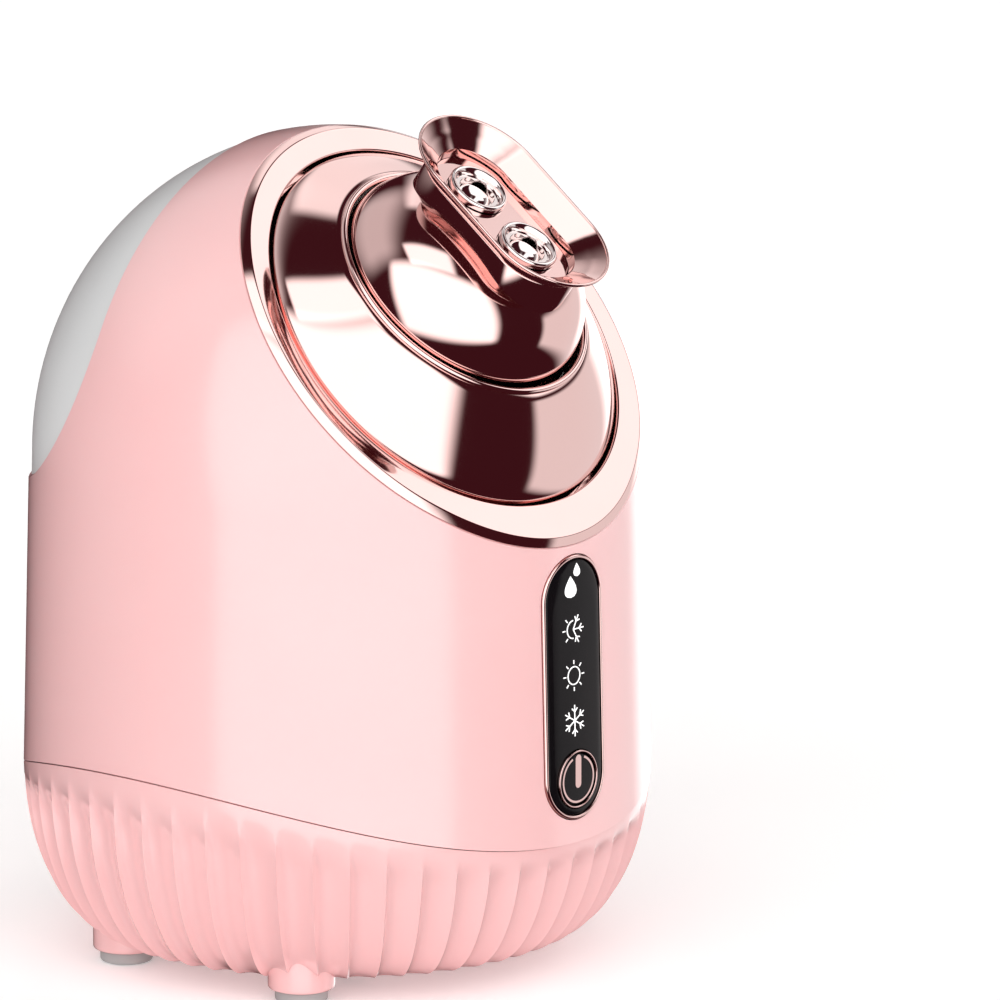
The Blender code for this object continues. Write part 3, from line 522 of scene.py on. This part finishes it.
def fluted_bowl():
    columns = FLUTES * ACROSS
    rings = []
    rows = 44
    for row in range(rows + 1):
        down = row / rows
        ring = []
        for i in range(columns):
            angle = 2.0 * math.pi * i / columns
            top = seam_height(angle) - GAP
            z = top + (BOWL_Z - top) * math.sin(0.5 * math.pi * down)
            r = bowl_radius(z) - FLUTE_DEPTH * flute_scoop((i % ACROSS) / ACROSS, down)
            ring.append(Vector((r * math.sin(angle), AXIS_Y - r * math.cos(angle), z)))
        rings.append(ring)
    angles = [2.0 * math.pi * i / columns for i in range(columns)]
    for r, z in ((HOLE_R, BOWL_Z), (HOLE_R, BOWL_Z + WALL), (BOWL_FLAT_R - 0.004, BOWL_Z + WALL)):
        rings.append([Vector((r * math.sin(a), AXIS_Y - r * math.cos(a), z)) for a in angles])
    for down in (0.6, 0.3, 0.0):
        ring = []
        for angle in angles:
            top = seam_height(angle) - GAP
            z = top + (BOWL_Z + WALL - top) * math.sin(0.5 * math.pi * down)
            r = bowl_radius(z) - WALL - FLUTE_DEPTH
            ring.append(Vector((r * math.sin(angle), AXIS_Y - r * math.cos(angle), z)))
        rings.append(ring)
    return loft(rings, closed=True)


inlet_low, inlet_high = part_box("power_inlet")
inlet_size = (inlet_high[0] - inlet_low[0] + 2 * GAP, 0.03, inlet_high[2] - inlet_low[2] + 2 * GAP)
inlet_middle = (0.0, inlet_high[1] - 0.005, 0.5 * (inlet_low[2] + inlet_high[2]))
inlet_cut = temporary(box_form(inlet_size, inlet_middle))
bowl = carve(temporary(fluted_bowl()), [inlet_cut])
bowl.data.shade_smooth()
bowl.data.set_sharp_from_angle(angle=math.radians(38.0))
bowl_mesh = bowl.data
bpy.data.objects.remove(bowl, do_unlink=True)
add_piece("fluted_base", bowl_mesh, pink, "housing", ["base_bowl"])

# %% [markdown]
# ## Feet
#
# Four short pink bosses stand under the bowl, each with a grey rubber pad. Both are turned, with
# their rims rounded.

# %% Four bosses and pads
BOSS_LIP = 0.0018
BOSS_TOP = 0.0150
for end in ("front_left", "front_right", "rear_left", "rear_right"):
    node = "foot_pad_" + end
    low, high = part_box(node)
    centre = (0.5 * (low[0] + high[0]), 0.5 * (low[1] + high[1]))
    pad_r = 0.5 * (high[0] - low[0])
    pad = rounded([(CENTRE_R, 0.0), (pad_r, 0.0), (pad_r, high[2]), (CENTRE_R, high[2])],
                  {1: 0.0008, 2: 0.0003})
    add_piece("rubber_" + end, turned(pad, 64, False, centre), rubber, "housing", [node])
    boss_r = pad_r + BOSS_LIP
    low_z = high[2] + GAP
    boss = rounded([(CENTRE_R, low_z), (boss_r, low_z), (boss_r, BOSS_TOP), (CENTRE_R, BOSS_TOP)],
                   {1: 0.0009})
    add_piece("boss_" + end, turned(boss, 64, False, centre), pink, "housing")

# %% [markdown]
# ## The face ring
#
# A plated ring frames the slanted opening. Its outer edge follows the body's skin, so its outline is
# an egg and not a circle, while its inner edge is round. The skin's distance from the turret axis is
# found by halving an interval. The ring is then one section swept round, with a broad bevel outside
# and a recess wall inside.

# %% Sweep the ring
RECESS_DEPTH = 0.0090
BEVEL_IN = 0.0020
RING_WALL = 0.0015
RING_FOOT = -RING_DROP - 0.0002


def skin_distance(angle, height):
    near, far = 0.0, 0.12
    for _ in range(40):
        middle = 0.5 * (near + far)
        point = face @ Vector((middle * math.cos(angle), middle * math.sin(angle), height))
        if math.hypot(point.x, point.y - AXIS_Y) < body_radius(point.z):
            near = middle
        else:
            far = middle
    return near


ring_rows = []
RING_SIDES = 240
for i in range(RING_SIDES):
    angle = 2.0 * math.pi * i / RING_SIDES
    skin = skin_distance(angle, -RING_DROP)
    section = [(skin, -RING_DROP), (skin - BEVEL_IN, 0.0), (RECESS_R + 0.0002, 0.0),
               (RECESS_R, -RECESS_DEPTH), (RECESS_R + RING_WALL, -RECESS_DEPTH),
               (RECESS_R + RING_WALL, RING_FOOT), (skin - 0.0004, RING_FOOT)]
    soft = rounded(section, {0: 0.00012, 1: 0.00035, 2: 0.0006, 3: 0.0002}, steps=4)
    ring_rows.append([face @ Vector((p[0] * math.cos(angle), p[0] * math.sin(angle), p[1]))
                      for p in soft])
add_piece("face_band", loft(ring_rows, closed=True), rose, "housing", ["face_ring"], sharp=50.0)

# %% [markdown]
# ## The turret
#
# The turret is a polished bell that turns in the ring. Its mouth is tilted a few degrees against its
# foot, so each ring of points lies a little steeper than the one below, and a rolled bead finishes
# the mouth.

# %% Bell with a rolled rim
TURRET_R = 0.0527
TURRET_H = 0.0130
RIM_SHIFT = 0.0048
RIM_TILT = math.radians(6.4)
RIM_R = 0.0354
RIM_ROLL = 0.0009
TURRET_SKIN = 0.0018
FLANGE_R = 0.0598
FLANGE_DEEP = 0.0020


def turret_ring(share, radius, drop=0.0, sides=192):
    tilt = Matrix.Rotation(-RIM_TILT * share, 3, "X")
    centre = Vector((0.0, RIM_SHIFT * share, TURRET_H * share))
    return [face @ (centre + tilt @ Vector((p.x, p.y, -drop)))
            for p in ring_points(radius, 0.0, sides)]


def turret_radius(share):
    return TURRET_R + (RIM_R + RIM_ROLL - TURRET_R) * share ** 1.3


foot_drop = RECESS_DEPTH + 2.0 * GAP
bell = [turret_ring(0.0, FLANGE_R, foot_drop + FLANGE_DEEP), turret_ring(0.0, FLANGE_R, foot_drop),
        turret_ring(0.0, TURRET_R + 0.0004, foot_drop)]
shares = [0.96 * k / 26 for k in range(27)]
bell += [turret_ring(s, turret_radius(s)) for s in shares]
for k in range(13):
    angle = -0.35 + (math.pi + 0.7) * k / 12
    bell.append(turret_ring(1.0, RIM_R + RIM_ROLL * math.cos(angle), -RIM_ROLL * math.sin(angle)))
bell += [turret_ring(s, turret_radius(s) - TURRET_SKIN) for s in reversed(shares[4:24:4])]
bell.append(turret_ring(0.0, TURRET_R - TURRET_SKIN - 0.0008, foot_drop + FLANGE_DEEP))
add_piece("turret_bell", loft(bell, closed=True), rose, "turret", ["turret_cone"], sharp=38.0)

# %% [markdown]
# ## Ball and oval neck
#
# The ball that tilts in the turret is a turned dome, rounder at the shoulder and flatter on top than
# a sphere. Powers of sine and cosine give that shape. An oval neck stands out of it and carries the
# horn. The neck is a hollow sleeve, and the dome is cut open inside it, so the outlets are not
# buried. The two stay separate skins that pass through each other.

# %% Dome and neck
BALL_R = 0.0340
BALL_H = 0.0268
BALL_POWER = 2.6
HORN_OUT = 0.0359
COLLAR_OUT = HORN_OUT - 0.0052
NECK_R = 0.0135
NECK_IN = NECK_R - 0.0012
NECK_FOOT = 0.0180
FLOOR_HALF = 0.0122
DOME_BELOW = 0.42
dome = []
DOME_ROWS = 84
for k in range(DOME_ROWS):
    lift = -DOME_BELOW + (0.5 * math.pi + DOME_BELOW) * k / (DOME_ROWS - 0.5)
    height = BALL_H * math.copysign(abs(math.sin(lift)) ** (2.0 / BALL_POWER), math.sin(lift))
    dome.append((BALL_R * math.cos(lift) ** (2.0 / BALL_POWER), height))
neck_top = COLLAR_OUT - GAP
shell = temporary(turned(dome, 192, closed=False), head)
throat = temporary(loft([stadium(FLOOR_HALF, NECK_IN, z) for z in (NECK_FOOT, neck_top + 0.01)]), head)
dome_mesh = polished_mesh(carve(shell, [throat]), lambda point: None, sharp=60.0)
add_piece("ball_dome", dome_mesh, rose, "spray_head", ["ball_head"])
neck_rows = [(NECK_R, NECK_FOOT), (NECK_R, neck_top - 0.0006), (NECK_R - 0.0002, neck_top - 0.0002),
             (NECK_R - 0.0006, neck_top), (NECK_IN, neck_top), (NECK_IN, NECK_FOOT)]
neck = loft([stadium(FLOOR_HALF, r, z) for r, z in neck_rows], closed=True)
add_piece("oval_neck", neck, rose, "spray_head", place=head, sharp=40.0)

# %% [markdown]
# ## The horn
#
# The horn is a thin plated cup with an oval mouth. From the collar it flares in a hollow curve to a
# fine rolled lip, and inside it falls in the same curve to a short upright wall round the floor. One
# closed section, swept round the oval, makes it.

# %% Flare, lip and floor
HORN_HALF = 0.0126
HORN_R = 0.0184
FLOOR_OUT = HORN_OUT - 0.0071
FLOOR_R = 0.0106
SLEEVE_R = NECK_R - 0.0017
COLLAR_R = 0.0146
COLLAR_TOP = COLLAR_OUT + 0.0014
LIP = 0.0004


def flare(start, end, steps, hollow_share):
    """Points of a hollow curve between two (radius, height) points."""
    points = []
    for k in range(steps + 1):
        t = k / steps
        r = start[0] + (end[0] - start[0]) * t
        z = start[1] + (end[1] - start[1]) * (t - hollow_share * math.sin(math.pi * t) * 0.5)
        points.append((r, z))
    return points


outer = flare((COLLAR_R, COLLAR_TOP), (HORN_R - 0.0002, HORN_OUT - 2.2 * LIP), 12, 0.05)
inner = flare((FLOOR_R + 0.0005, COLLAR_OUT + 0.0004), (HORN_R - 2.0 * LIP, HORN_OUT - LIP), 14,
              0.04)
lip = [(HORN_R - LIP + LIP * math.cos(a), HORN_OUT - LIP + LIP * math.sin(a))
       for a in (math.radians(-40 + 25 * k) for k in range(9))]
section = [(FLOOR_R, FLOOR_OUT - 0.0004), (SLEEVE_R, FLOOR_OUT - 0.0004), (SLEEVE_R, COLLAR_OUT)]
section += rounded([(SLEEVE_R, COLLAR_OUT), (COLLAR_R, COLLAR_OUT), (COLLAR_R, COLLAR_TOP)],
                   {1: 0.0004}, closed=False)[1:]
section += outer[1:] + lip + list(reversed(inner))
horn_rows = []
for r, z in section:
    share = min(max((r - COLLAR_R) / (HORN_R - COLLAR_R), 0.0), 1.0)
    horn_rows.append(stadium(FLOOR_HALF + (HORN_HALF - FLOOR_HALF) * share, r, z))
add_piece("horn_flare", loft(horn_rows, closed=True), rose, "spray_head", ["horn_nozzle"],
          place=head, sharp=38.0)
floor_rows = [(FLOOR_R - 0.0001, FLOOR_OUT - 0.0016), (FLOOR_R - 0.0001, FLOOR_OUT - GAP)]
OUTLET_APART = 0.0206
HOLE_IN_FLOOR = 0.0055
hole_rows = [(HOLE_IN_FLOOR, FLOOR_OUT - 0.004), (HOLE_IN_FLOOR, FLOOR_OUT + 0.004)]
holes = [temporary(turned(hole_rows, 64, False, (0.0, side * 0.5 * OUTLET_APART)))
         for side in (-1, 1)]
floor_plate = carve(temporary(loft([stadium(FLOOR_HALF, r, z) for r, z in floor_rows])), holes)
floor_plate.data.transform(head)
add_piece("horn_floor", polished_mesh(floor_plate, lambda point: None), rose, "spray_head",
          ["nozzle_plate"])

# %% [markdown]
# ## The two outlets
#
# Steam and mist leave through two bright cups in the horn's floor. Each has a rounded rim, a dished
# throat and a dark bore. A turned section gives all three.

# %% Cups with rounded rims
BORE_R, STEM_R, CUP_R = 0.0020, 0.0050, 0.0080
STEM_LONG = 0.0070
top = FLOOR_OUT - GAP
for node, side in (("hot_outlet", -1), ("cold_outlet", 1)):
    cup = [(BORE_R, top - STEM_LONG), (STEM_R, top - STEM_LONG), (STEM_R, top + GAP),
           (CUP_R, top + GAP), (CUP_R, top + 0.0016), (0.0073, top + 0.0021),
           (0.0064, top + 0.0015), (0.0046, top - 0.0030), (BORE_R, top - 0.0042)]
    soft = rounded(cup, {4: 0.0004, 5: 0.0006, 6: 0.0010, 7: 0.0014, 8: 0.0005})
    centre = (0.0, side * 0.5 * OUTLET_APART)
    add_piece(node.replace("outlet", "spout"), turned(soft, 96, True, centre), bright, "spray_head",
              [node], place=head, sharp=40.0)

# %% [markdown]
# ## The control panel
#
# A gloss black lens, upright with round ends, follows the curve of the wall inside a thin plated
# rim. Its marks are generic: drops for mist, half sun and half flake, a sun for hot and a flake for
# cold. Every mark is a set of thin strips laid on the lens and bent to its curve.

# %% Lens and plated rim
def on_wall(x, z, proud):
    """A point of the front wall at a width and a height, standing proud of the skin."""
    r = body_radius(z) + proud
    return Vector((x, AXIS_Y - math.sqrt(r * r - x * x), z))


def capsule(grow, arc=28):
    straight = PANEL_HALF_H - PANEL_HALF_W
    return [(p.x, PANEL_Z + p.y) for p in stadium(straight, PANEL_HALF_W + grow, 0.0, arc)]


button_low, button_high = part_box("power_button")
BUTTON_Z = 0.5 * (button_low[2] + button_high[2])
BUTTON_R = 0.5 * (button_high[0] - button_low[0])
BUTTON_HOLE_R = 0.0078
LENS_INSET = 0.0005
LENS_PROUD = 0.0004
to_front = Matrix.Rotation(0.5 * math.pi, 4, "X")
lens_steps = [(1.0, -0.0016), (1.0, 0.0001), (0.985, 0.00028)]
lens_steps += [(share, LENS_PROUD) for share in (0.95, 0.8, 0.6, 0.4, 0.2, 0.02)]
lens = temporary(loft([[on_wall(x * share, PANEL_Z + (z - PANEL_Z) * share, proud)
                        for x, z in capsule(-LENS_INSET)] for share, proud in lens_steps]))
button_hole = temporary(turned([(BUTTON_HOLE_R, -0.01), (BUTTON_HOLE_R, 0.03)], 64, False),
                        Matrix.Translation((0.0, button_low[1] + 0.005, BUTTON_Z)) @ to_front)
lens = carve(lens, [button_hole])
lens.data.shade_smooth()
lens.data.set_sharp_from_angle(angle=math.radians(30.0))
lens_mesh = lens.data
bpy.data.objects.remove(lens, do_unlink=True)
add_piece("panel_glass", lens_mesh, black, "housing", ["panel_lens"])

PANEL_RIM = [(-0.0002, -0.0018), (0.0007, -0.0018), (0.0007, 0.0005), (-0.0002, 0.0006)]
rim = rounded(PANEL_RIM, {2: 0.0004, 3: 0.0004})
rim_rows = []
straight = PANEL_HALF_H - PANEL_HALF_W
for x, z in capsule(0.0, 40):
    centre_z = PANEL_Z + max(-straight, min(straight, z - PANEL_Z))
    out = Vector((x, z - centre_z)).normalized()
    rim_rows.append([on_wall(x + out.x * p[0], z + out.y * p[0], p[1]) for p in rim])
add_piece("panel_rim", loft(rim_rows, closed=True), rose, "housing", ["panel_bezel"], sharp=50.0)

# %% Strips for the marks
MARK_PROUD = 0.00045
MARK_THICK = 0.00012
MARK_SHIFT = (-0.0009, -0.0012)


def strip_rows(left, right, lay):
    """Closed section rows of a thin flat strip between two lines of (x, z) points."""
    rows = []
    for a, b in zip(left, right):
        rows.append([lay(*a, MARK_THICK), lay(*b, MARK_THICK), lay(*b, 0.0), lay(*a, 0.0)])
    return rows


def stroke(points, width, lay, closed=False):
    """A strip of even width along a line of (x, z) points."""
    left, right = [], []
    count = len(points)
    for i, point in enumerate(points):
        before = points[i - 1] if closed or i > 0 else point
        after = points[(i + 1) % count] if closed or i < count - 1 else point
        way = (Vector(after) - Vector(before)).normalized()
        side = Vector((-way.y, way.x)) * 0.5 * width
        left.append(tuple(Vector(point) + side))
        right.append(tuple(Vector(point) - side))
    return loft(strip_rows(left, right, lay), closed)


def join_forms(forms):
    whole = bmesh.new()
    for form in forms:
        part = bpy.data.meshes.new("part")
        bmesh.ops.recalc_face_normals(form, faces=form.faces)
        form.to_mesh(part)
        form.free()
        whole.from_mesh(part)
        bpy.data.meshes.remove(part)
    return whole


def lay_at(centre_z, centre_x=0.0):
    centre_x, centre_z = centre_x + MARK_SHIFT[0], centre_z + MARK_SHIFT[1]
    return lambda x, z, lift: on_wall(centre_x + x, centre_z + z, MARK_PROUD + lift)


def arc_points(radius, start, end, steps=32):
    return [(radius * math.cos(math.radians(start + (end - start) * k / steps)),
             radius * math.sin(math.radians(start + (end - start) * k / steps)))
            for k in range(steps + 1)]


def spoke(radius_in, radius_out, degrees):
    angle = math.radians(degrees)
    return [(r * math.cos(angle), r * math.sin(angle)) for r in (radius_in, radius_out)]


# %% Sun, flake and drops
LINE = 0.00030
SUN_R = 0.0023
RAY = (0.0030, 0.0040)
FLAKE_R = 0.0041
FORK_AT = 0.56
FORK_LONG = 0.0014
FORK_ANGLE = 48.0


def sun_forms(lay, start, end, whole):
    rim_line = arc_points(SUN_R, start, end)
    forms = [stroke(rim_line[:-1] if whole else rim_line, LINE, lay, whole)]
    for k in range(8):
        degrees = 90.0 + 45.0 * k
        if whole or start + 1 < degrees < end - 1:
            forms.append(stroke(spoke(*RAY, degrees), LINE, lay))
    return forms


def flake_forms(lay, arms):
    forms = []
    for degrees in arms:
        forms.append(stroke(spoke(0.0, FLAKE_R, degrees), LINE, lay))
        root = Vector(spoke(0.0, FLAKE_R * FORK_AT, degrees)[1])
        for turn in (-FORK_ANGLE, FORK_ANGLE):
            tip = root + Vector(spoke(0.0, FORK_LONG, degrees + turn)[1])
            forms.append(stroke([tuple(root), tuple(tip)], LINE, lay))
    return forms


def drop_form(lay, width, height):
    """A drop: a round belly that draws up to a point."""
    left, right = [], []
    steps = 24
    for k in range(steps + 1):
        t = k / steps
        half = 0.5 * width * math.sqrt(t) * (1.0 - t) ** 1.1 * 2.7
        half = max(half, 0.00002)
        z = height * (t - 0.42)
        left.append((-half, z))
        right.append((half, z))
    return loft(strip_rows(left, right, lay))


def height_on_wall(share):
    return SEAM_Z + share * BODY_R


drops = [drop_form(lay_at(height_on_wall(0.715), -0.0007), 0.0044, 0.0056),
         drop_form(lay_at(height_on_wall(0.768), 0.0018), 0.0025, 0.0034)]
add_piece("mark_drops", join_forms(drops), print_with_painted_glow, "housing")
mixed = lay_at(height_on_wall(0.583))
half_sun = sun_forms(mixed, 90.0, 270.0, False)
half_flake = flake_forms(mixed, (60.0, 0.0, -60.0))
add_piece("mark_half_and_half", join_forms(half_sun + half_flake), print_with_painted_glow, "housing")
sun = sun_forms(lay_at(height_on_wall(0.435)), 0.0, 360.0, True)
add_piece("mark_sun", join_forms(sun), print_with_painted_glow, "housing")
flake = flake_forms(lay_at(height_on_wall(0.290)), [60.0 * k + 30.0 for k in range(6)])
add_piece("mark_flake", join_forms(flake), print_with_painted_glow, "housing")

# %% [markdown]
# ## The power button
#
# The button is a black cap in a thin plated ring. On the cap lie a broken ring and a plated bar,
# which move in with it.

# %% Cap, ring and bar
FRONT_Y = button_low[1]
CAP_DEEP = 0.0060
TRIM_IN, TRIM_OUT = 0.0070, 0.0075
CIRCLE_R = 0.0059
CIRCLE_LINE = 0.00055
button_face = Matrix.Translation((0.0, FRONT_Y, BUTTON_Z)) @ to_front
cap = rounded([(CENTRE_R, -CAP_DEEP), (BUTTON_R, -CAP_DEEP), (BUTTON_R, 0.0), (CENTRE_R, 0.0)],
              {2: 0.0005})
add_piece("button_cap", turned(cap, 96, False), black, "button", ["power_button"], place=button_face)
trim = rounded([(TRIM_IN, -0.0026), (TRIM_OUT, -0.0026), (TRIM_OUT, 0.0003), (TRIM_IN, 0.0003)],
               {2: 0.00022, 3: 0.00022})
add_piece("button_trim", turned(trim, 128), rose, "housing", ["button_ring"], place=button_face)


def lay_on_button(x, z, lift):
    return Vector((x, FRONT_Y - 0.00002 - lift, BUTTON_Z + z))


circle = stroke(arc_points(CIRCLE_R, 112.0, 428.0, 72), CIRCLE_LINE, lay_on_button)
add_piece("button_circle", join_forms([circle]), rose, "button")
bar_half = 0.0011
bar_top, bar_low = 0.0064, -0.0012
bar_left = [(-bar_half * math.cos(math.radians(a)), bar_low - bar_half * math.sin(math.radians(a)))
            for a in range(85, -1, -17)]
bar_left += [(-bar_half * math.cos(math.radians(a)),
              bar_top - bar_half + bar_half * math.sin(math.radians(a))) for a in range(0, 86, 17)]
bar = loft(strip_rows(bar_left, [(-x, z) for x, z in bar_left], lay_on_button))
add_piece("button_bar", bar, rose, "button")

# %% [markdown]
# ## The water tank
#
# The tank is frosted clear plastic that carries the body's curve on round the back. It is the same
# turned form, standing back a little from the skin, kept only where the tank's space is. Inside it
# is hollow, with a filler neck underneath.

# %% Tank
TANK_INSET = 0.0008
TANK_GAP = 0.0006
TANK_WALL = 0.0020
cap_low, cap_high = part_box("tank_cap")
FILLER_R = 0.0070
FILLER_BORE_R = FILLER_R - 0.0014
neck_y = 0.5 * (cap_low[1] + cap_high[1])
neck_z = joints["cap_turn"]["pos_m"][2]
inside = carve(temporary(body_form(TANK_INSET + TANK_WALL, 96, 6, 18)),
               [temporary(tank_prism(-TANK_GAP - TANK_WALL))], "INTERSECT")
tank = carve(temporary(body_form(TANK_INSET, 200, 22, 44)), [temporary(tank_prism(-TANK_GAP))],
             "INTERSECT")
filler = temporary(turned([(FILLER_R, neck_z), (FILLER_R, neck_z + 0.0135)], 64, False,
                          (0.0, neck_y)))
tank = carve(tank, [filler], "UNION")
bore = temporary(turned([(FILLER_BORE_R, neck_z - 0.004), (FILLER_BORE_R, neck_z + 0.0175)], 64,
                        False, (0.0, neck_y)))
tank = carve(tank, [inside, bore])
add_piece("tank_skin", polished_mesh(tank, skin_normal_for(TANK_INSET)), tank_finish, "tank",
          ["water_tank"])

# %% [markdown]
# ## Floor, light and camera
#
# The floor is plain and pale, glows faintly and is left out of reflections. The studio is drawn in
# the world shader: soft rectangles of light in chosen directions, as softboxes hang round a product
# table, over a dim room. Plating shows its surroundings, so these rectangles and the dark between
# them are what makes it read as metal. Reflections meet a darker room than matt surfaces do, and the
# camera sees white paper behind the object.

# %% Floor
FLOOR_GLOW = 0.24
bpy.ops.mesh.primitive_circle_add(vertices=96, radius=3.0, fill_type="NGON",
                                  location=(0.0, 0.0, -0.0002))
floor = bpy.context.object
floor.name = "studio_floor"
floor_finish = finish("pale_floor", ((0.97, 0.965, 0.965), (0.98, 0.975, 0.975)), (0.65, 0.75),
                      scale=4.0)
floor_shader = shader_of(floor_finish)
floor.data.materials.append(floor_finish)
floor_shader.inputs["Emission Color"].default_value = (1.0, 1.0, 1.0, 1.0)
floor_shader.inputs["Emission Strength"].default_value = FLOOR_GLOW
floor.visible_glossy = False

# %% Softboxes in the world shader
world = bpy.data.worlds.new("studio")
bpy.context.scene.world = world
world.use_nodes = True
sky = world.node_tree
sky.nodes.clear()
direction_node = sky.nodes.new("ShaderNodeTexCoord")


def math_node(kind, *values):
    node = sky.nodes.new("ShaderNodeMath")
    node.operation = kind
    for socket, value in zip(node.inputs, values):
        if isinstance(value, (int, float)):
            socket.default_value = value
        else:
            sky.links.new(value, socket)
    return node.outputs[0]


def along(axis):
    node = sky.nodes.new("ShaderNodeVectorMath")
    node.operation = "DOT_PRODUCT"
    sky.links.new(direction_node.outputs["Generated"], node.inputs[0])
    node.inputs[1].default_value = axis
    return node.outputs["Value"]


def soft_step(value, edge, soft):
    """1 inside the edge, 0 outside, easing over the soft width."""
    node = sky.nodes.new("ShaderNodeMapRange")
    node.interpolation_type = "SMOOTHSTEP"
    sky.links.new(value, node.inputs["Value"])
    node.inputs["From Min"].default_value = edge + soft
    node.inputs["From Max"].default_value = edge - soft
    return node.outputs["Result"]


def compass(azimuth, elevation):
    """A direction: azimuth 0 is the front (-Y), and it grows towards -X."""
    a, e = math.radians(azimuth), math.radians(elevation)
    return Vector((-math.sin(a) * math.cos(e), -math.cos(a) * math.cos(e), math.sin(e)))


def softbox(azimuth, elevation, wide, tall, soft, strength):
    """The light of one soft rectangle; wide and tall are half sizes as tangents."""
    forward = compass(azimuth, elevation)
    across = forward.cross(Vector((0.0, 0.0, 1.0))).normalized()
    upward = across.cross(forward)
    ahead = math_node("MAXIMUM", along(forward), 0.001)
    x = math_node("ABSOLUTE", math_node("DIVIDE", along(across), ahead))
    y = math_node("ABSOLUTE", math_node("DIVIDE", along(upward), ahead))
    mask = math_node("MULTIPLY", soft_step(x, wide, soft), soft_step(y, tall, soft))
    return math_node("MULTIPLY", mask, strength)


boxes = [
    softbox(50.0, 18.0, 1.12, 0.92, 0.20, 1.60),
    softbox(44.0, 71.0, 0.34, 0.17, 0.05, 1.45),
    softbox(-62.0, 35.0, 0.30, 0.30, 0.08, 1.30),
    softbox(-96.0, 36.0, 0.22, 0.13, 0.08, 1.20),
    softbox(-82.0, -10.0, 0.93, 0.36, 0.10, 0.80),
    softbox(-112.0, -7.0, 0.30, 0.24, 0.12, 0.90),
    softbox(-126.0, 40.0, 0.13, 0.50, 0.08, 1.00),
    softbox(165.0, 45.0, 0.70, 0.45, 0.30, 0.60),
]
light = boxes[0]
for box in boxes[1:]:
    light = math_node("ADD", light, box)

# %% Room light, and what the camera sees behind the object
ROOM_FOR_MATT = (0.19, 0.188, 0.188, 1.0)
ROOM_FOR_GLOSS = (0.045, 0.008, 0.012, 1.0)
path = sky.nodes.new("ShaderNodeLightPath")
room = sky.nodes.new("ShaderNodeMix")
room.data_type = "RGBA"
sky.links.new(path.outputs["Is Glossy Ray"], room.inputs["Factor"])
room.inputs[6].default_value = ROOM_FOR_MATT
room.inputs[7].default_value = ROOM_FOR_GLOSS
lamp = sky.nodes.new("ShaderNodeBackground")
lamp.inputs["Color"].default_value = (1.0, 0.985, 0.975, 1.0)
sky.links.new(light, lamp.inputs["Strength"])
dim = sky.nodes.new("ShaderNodeBackground")
sky.links.new(room.outputs[2], dim.inputs["Color"])
together = sky.nodes.new("ShaderNodeAddShader")
sky.links.new(lamp.outputs[0], together.inputs[0])
sky.links.new(dim.outputs[0], together.inputs[1])
paper = sky.nodes.new("ShaderNodeBackground")
paper.inputs["Color"].default_value = (1.0, 1.0, 1.0, 1.0)
choice = sky.nodes.new("ShaderNodeMixShader")
sky.links.new(path.outputs["Is Camera Ray"], choice.inputs[0])
sky.links.new(together.outputs[0], choice.inputs[1])
sky.links.new(paper.outputs[0], choice.inputs[2])
out = sky.nodes.new("ShaderNodeOutputWorld")
sky.links.new(choice.outputs[0], out.inputs["Surface"])
bpy.context.scene.view_settings.view_transform = "Standard"

# %% Camera: far away with a long lens, from the front left, a little above
CAMERA_AZIMUTH = 48.85
CAMERA_ELEVATION = 14.3
CAMERA_AWAY = 40.0 * BODY_R
FRAME_WIDTH = 3.192 * BODY_R
seam_centre = Vector((0.0, AXIS_Y, SEAM_Z))
outward = compass(CAMERA_AZIMUTH, CAMERA_ELEVATION)
right = (-outward).cross(Vector((0.0, 0.0, 1.0))).normalized()
upward = right.cross(-outward)
aim = seam_centre + right * 0.522 * BODY_R + upward * 0.809 * BODY_R
camera_data = bpy.data.cameras.new("studio_camera")
camera = bpy.data.objects.new("studio_camera", camera_data)
bpy.context.scene.collection.objects.link(camera)
camera_data.sensor_width = 36.0
camera_data.lens = 36.0 * CAMERA_AWAY / FRAME_WIDTH
camera.location = seam_centre + outward * CAMERA_AWAY
camera.rotation_euler = (aim - camera.location).to_track_quat("-Z", "Y").to_euler()
bpy.context.scene.camera = camera
print("lens mm", round(camera_data.lens), "distance m", round(CAMERA_AWAY, 2))
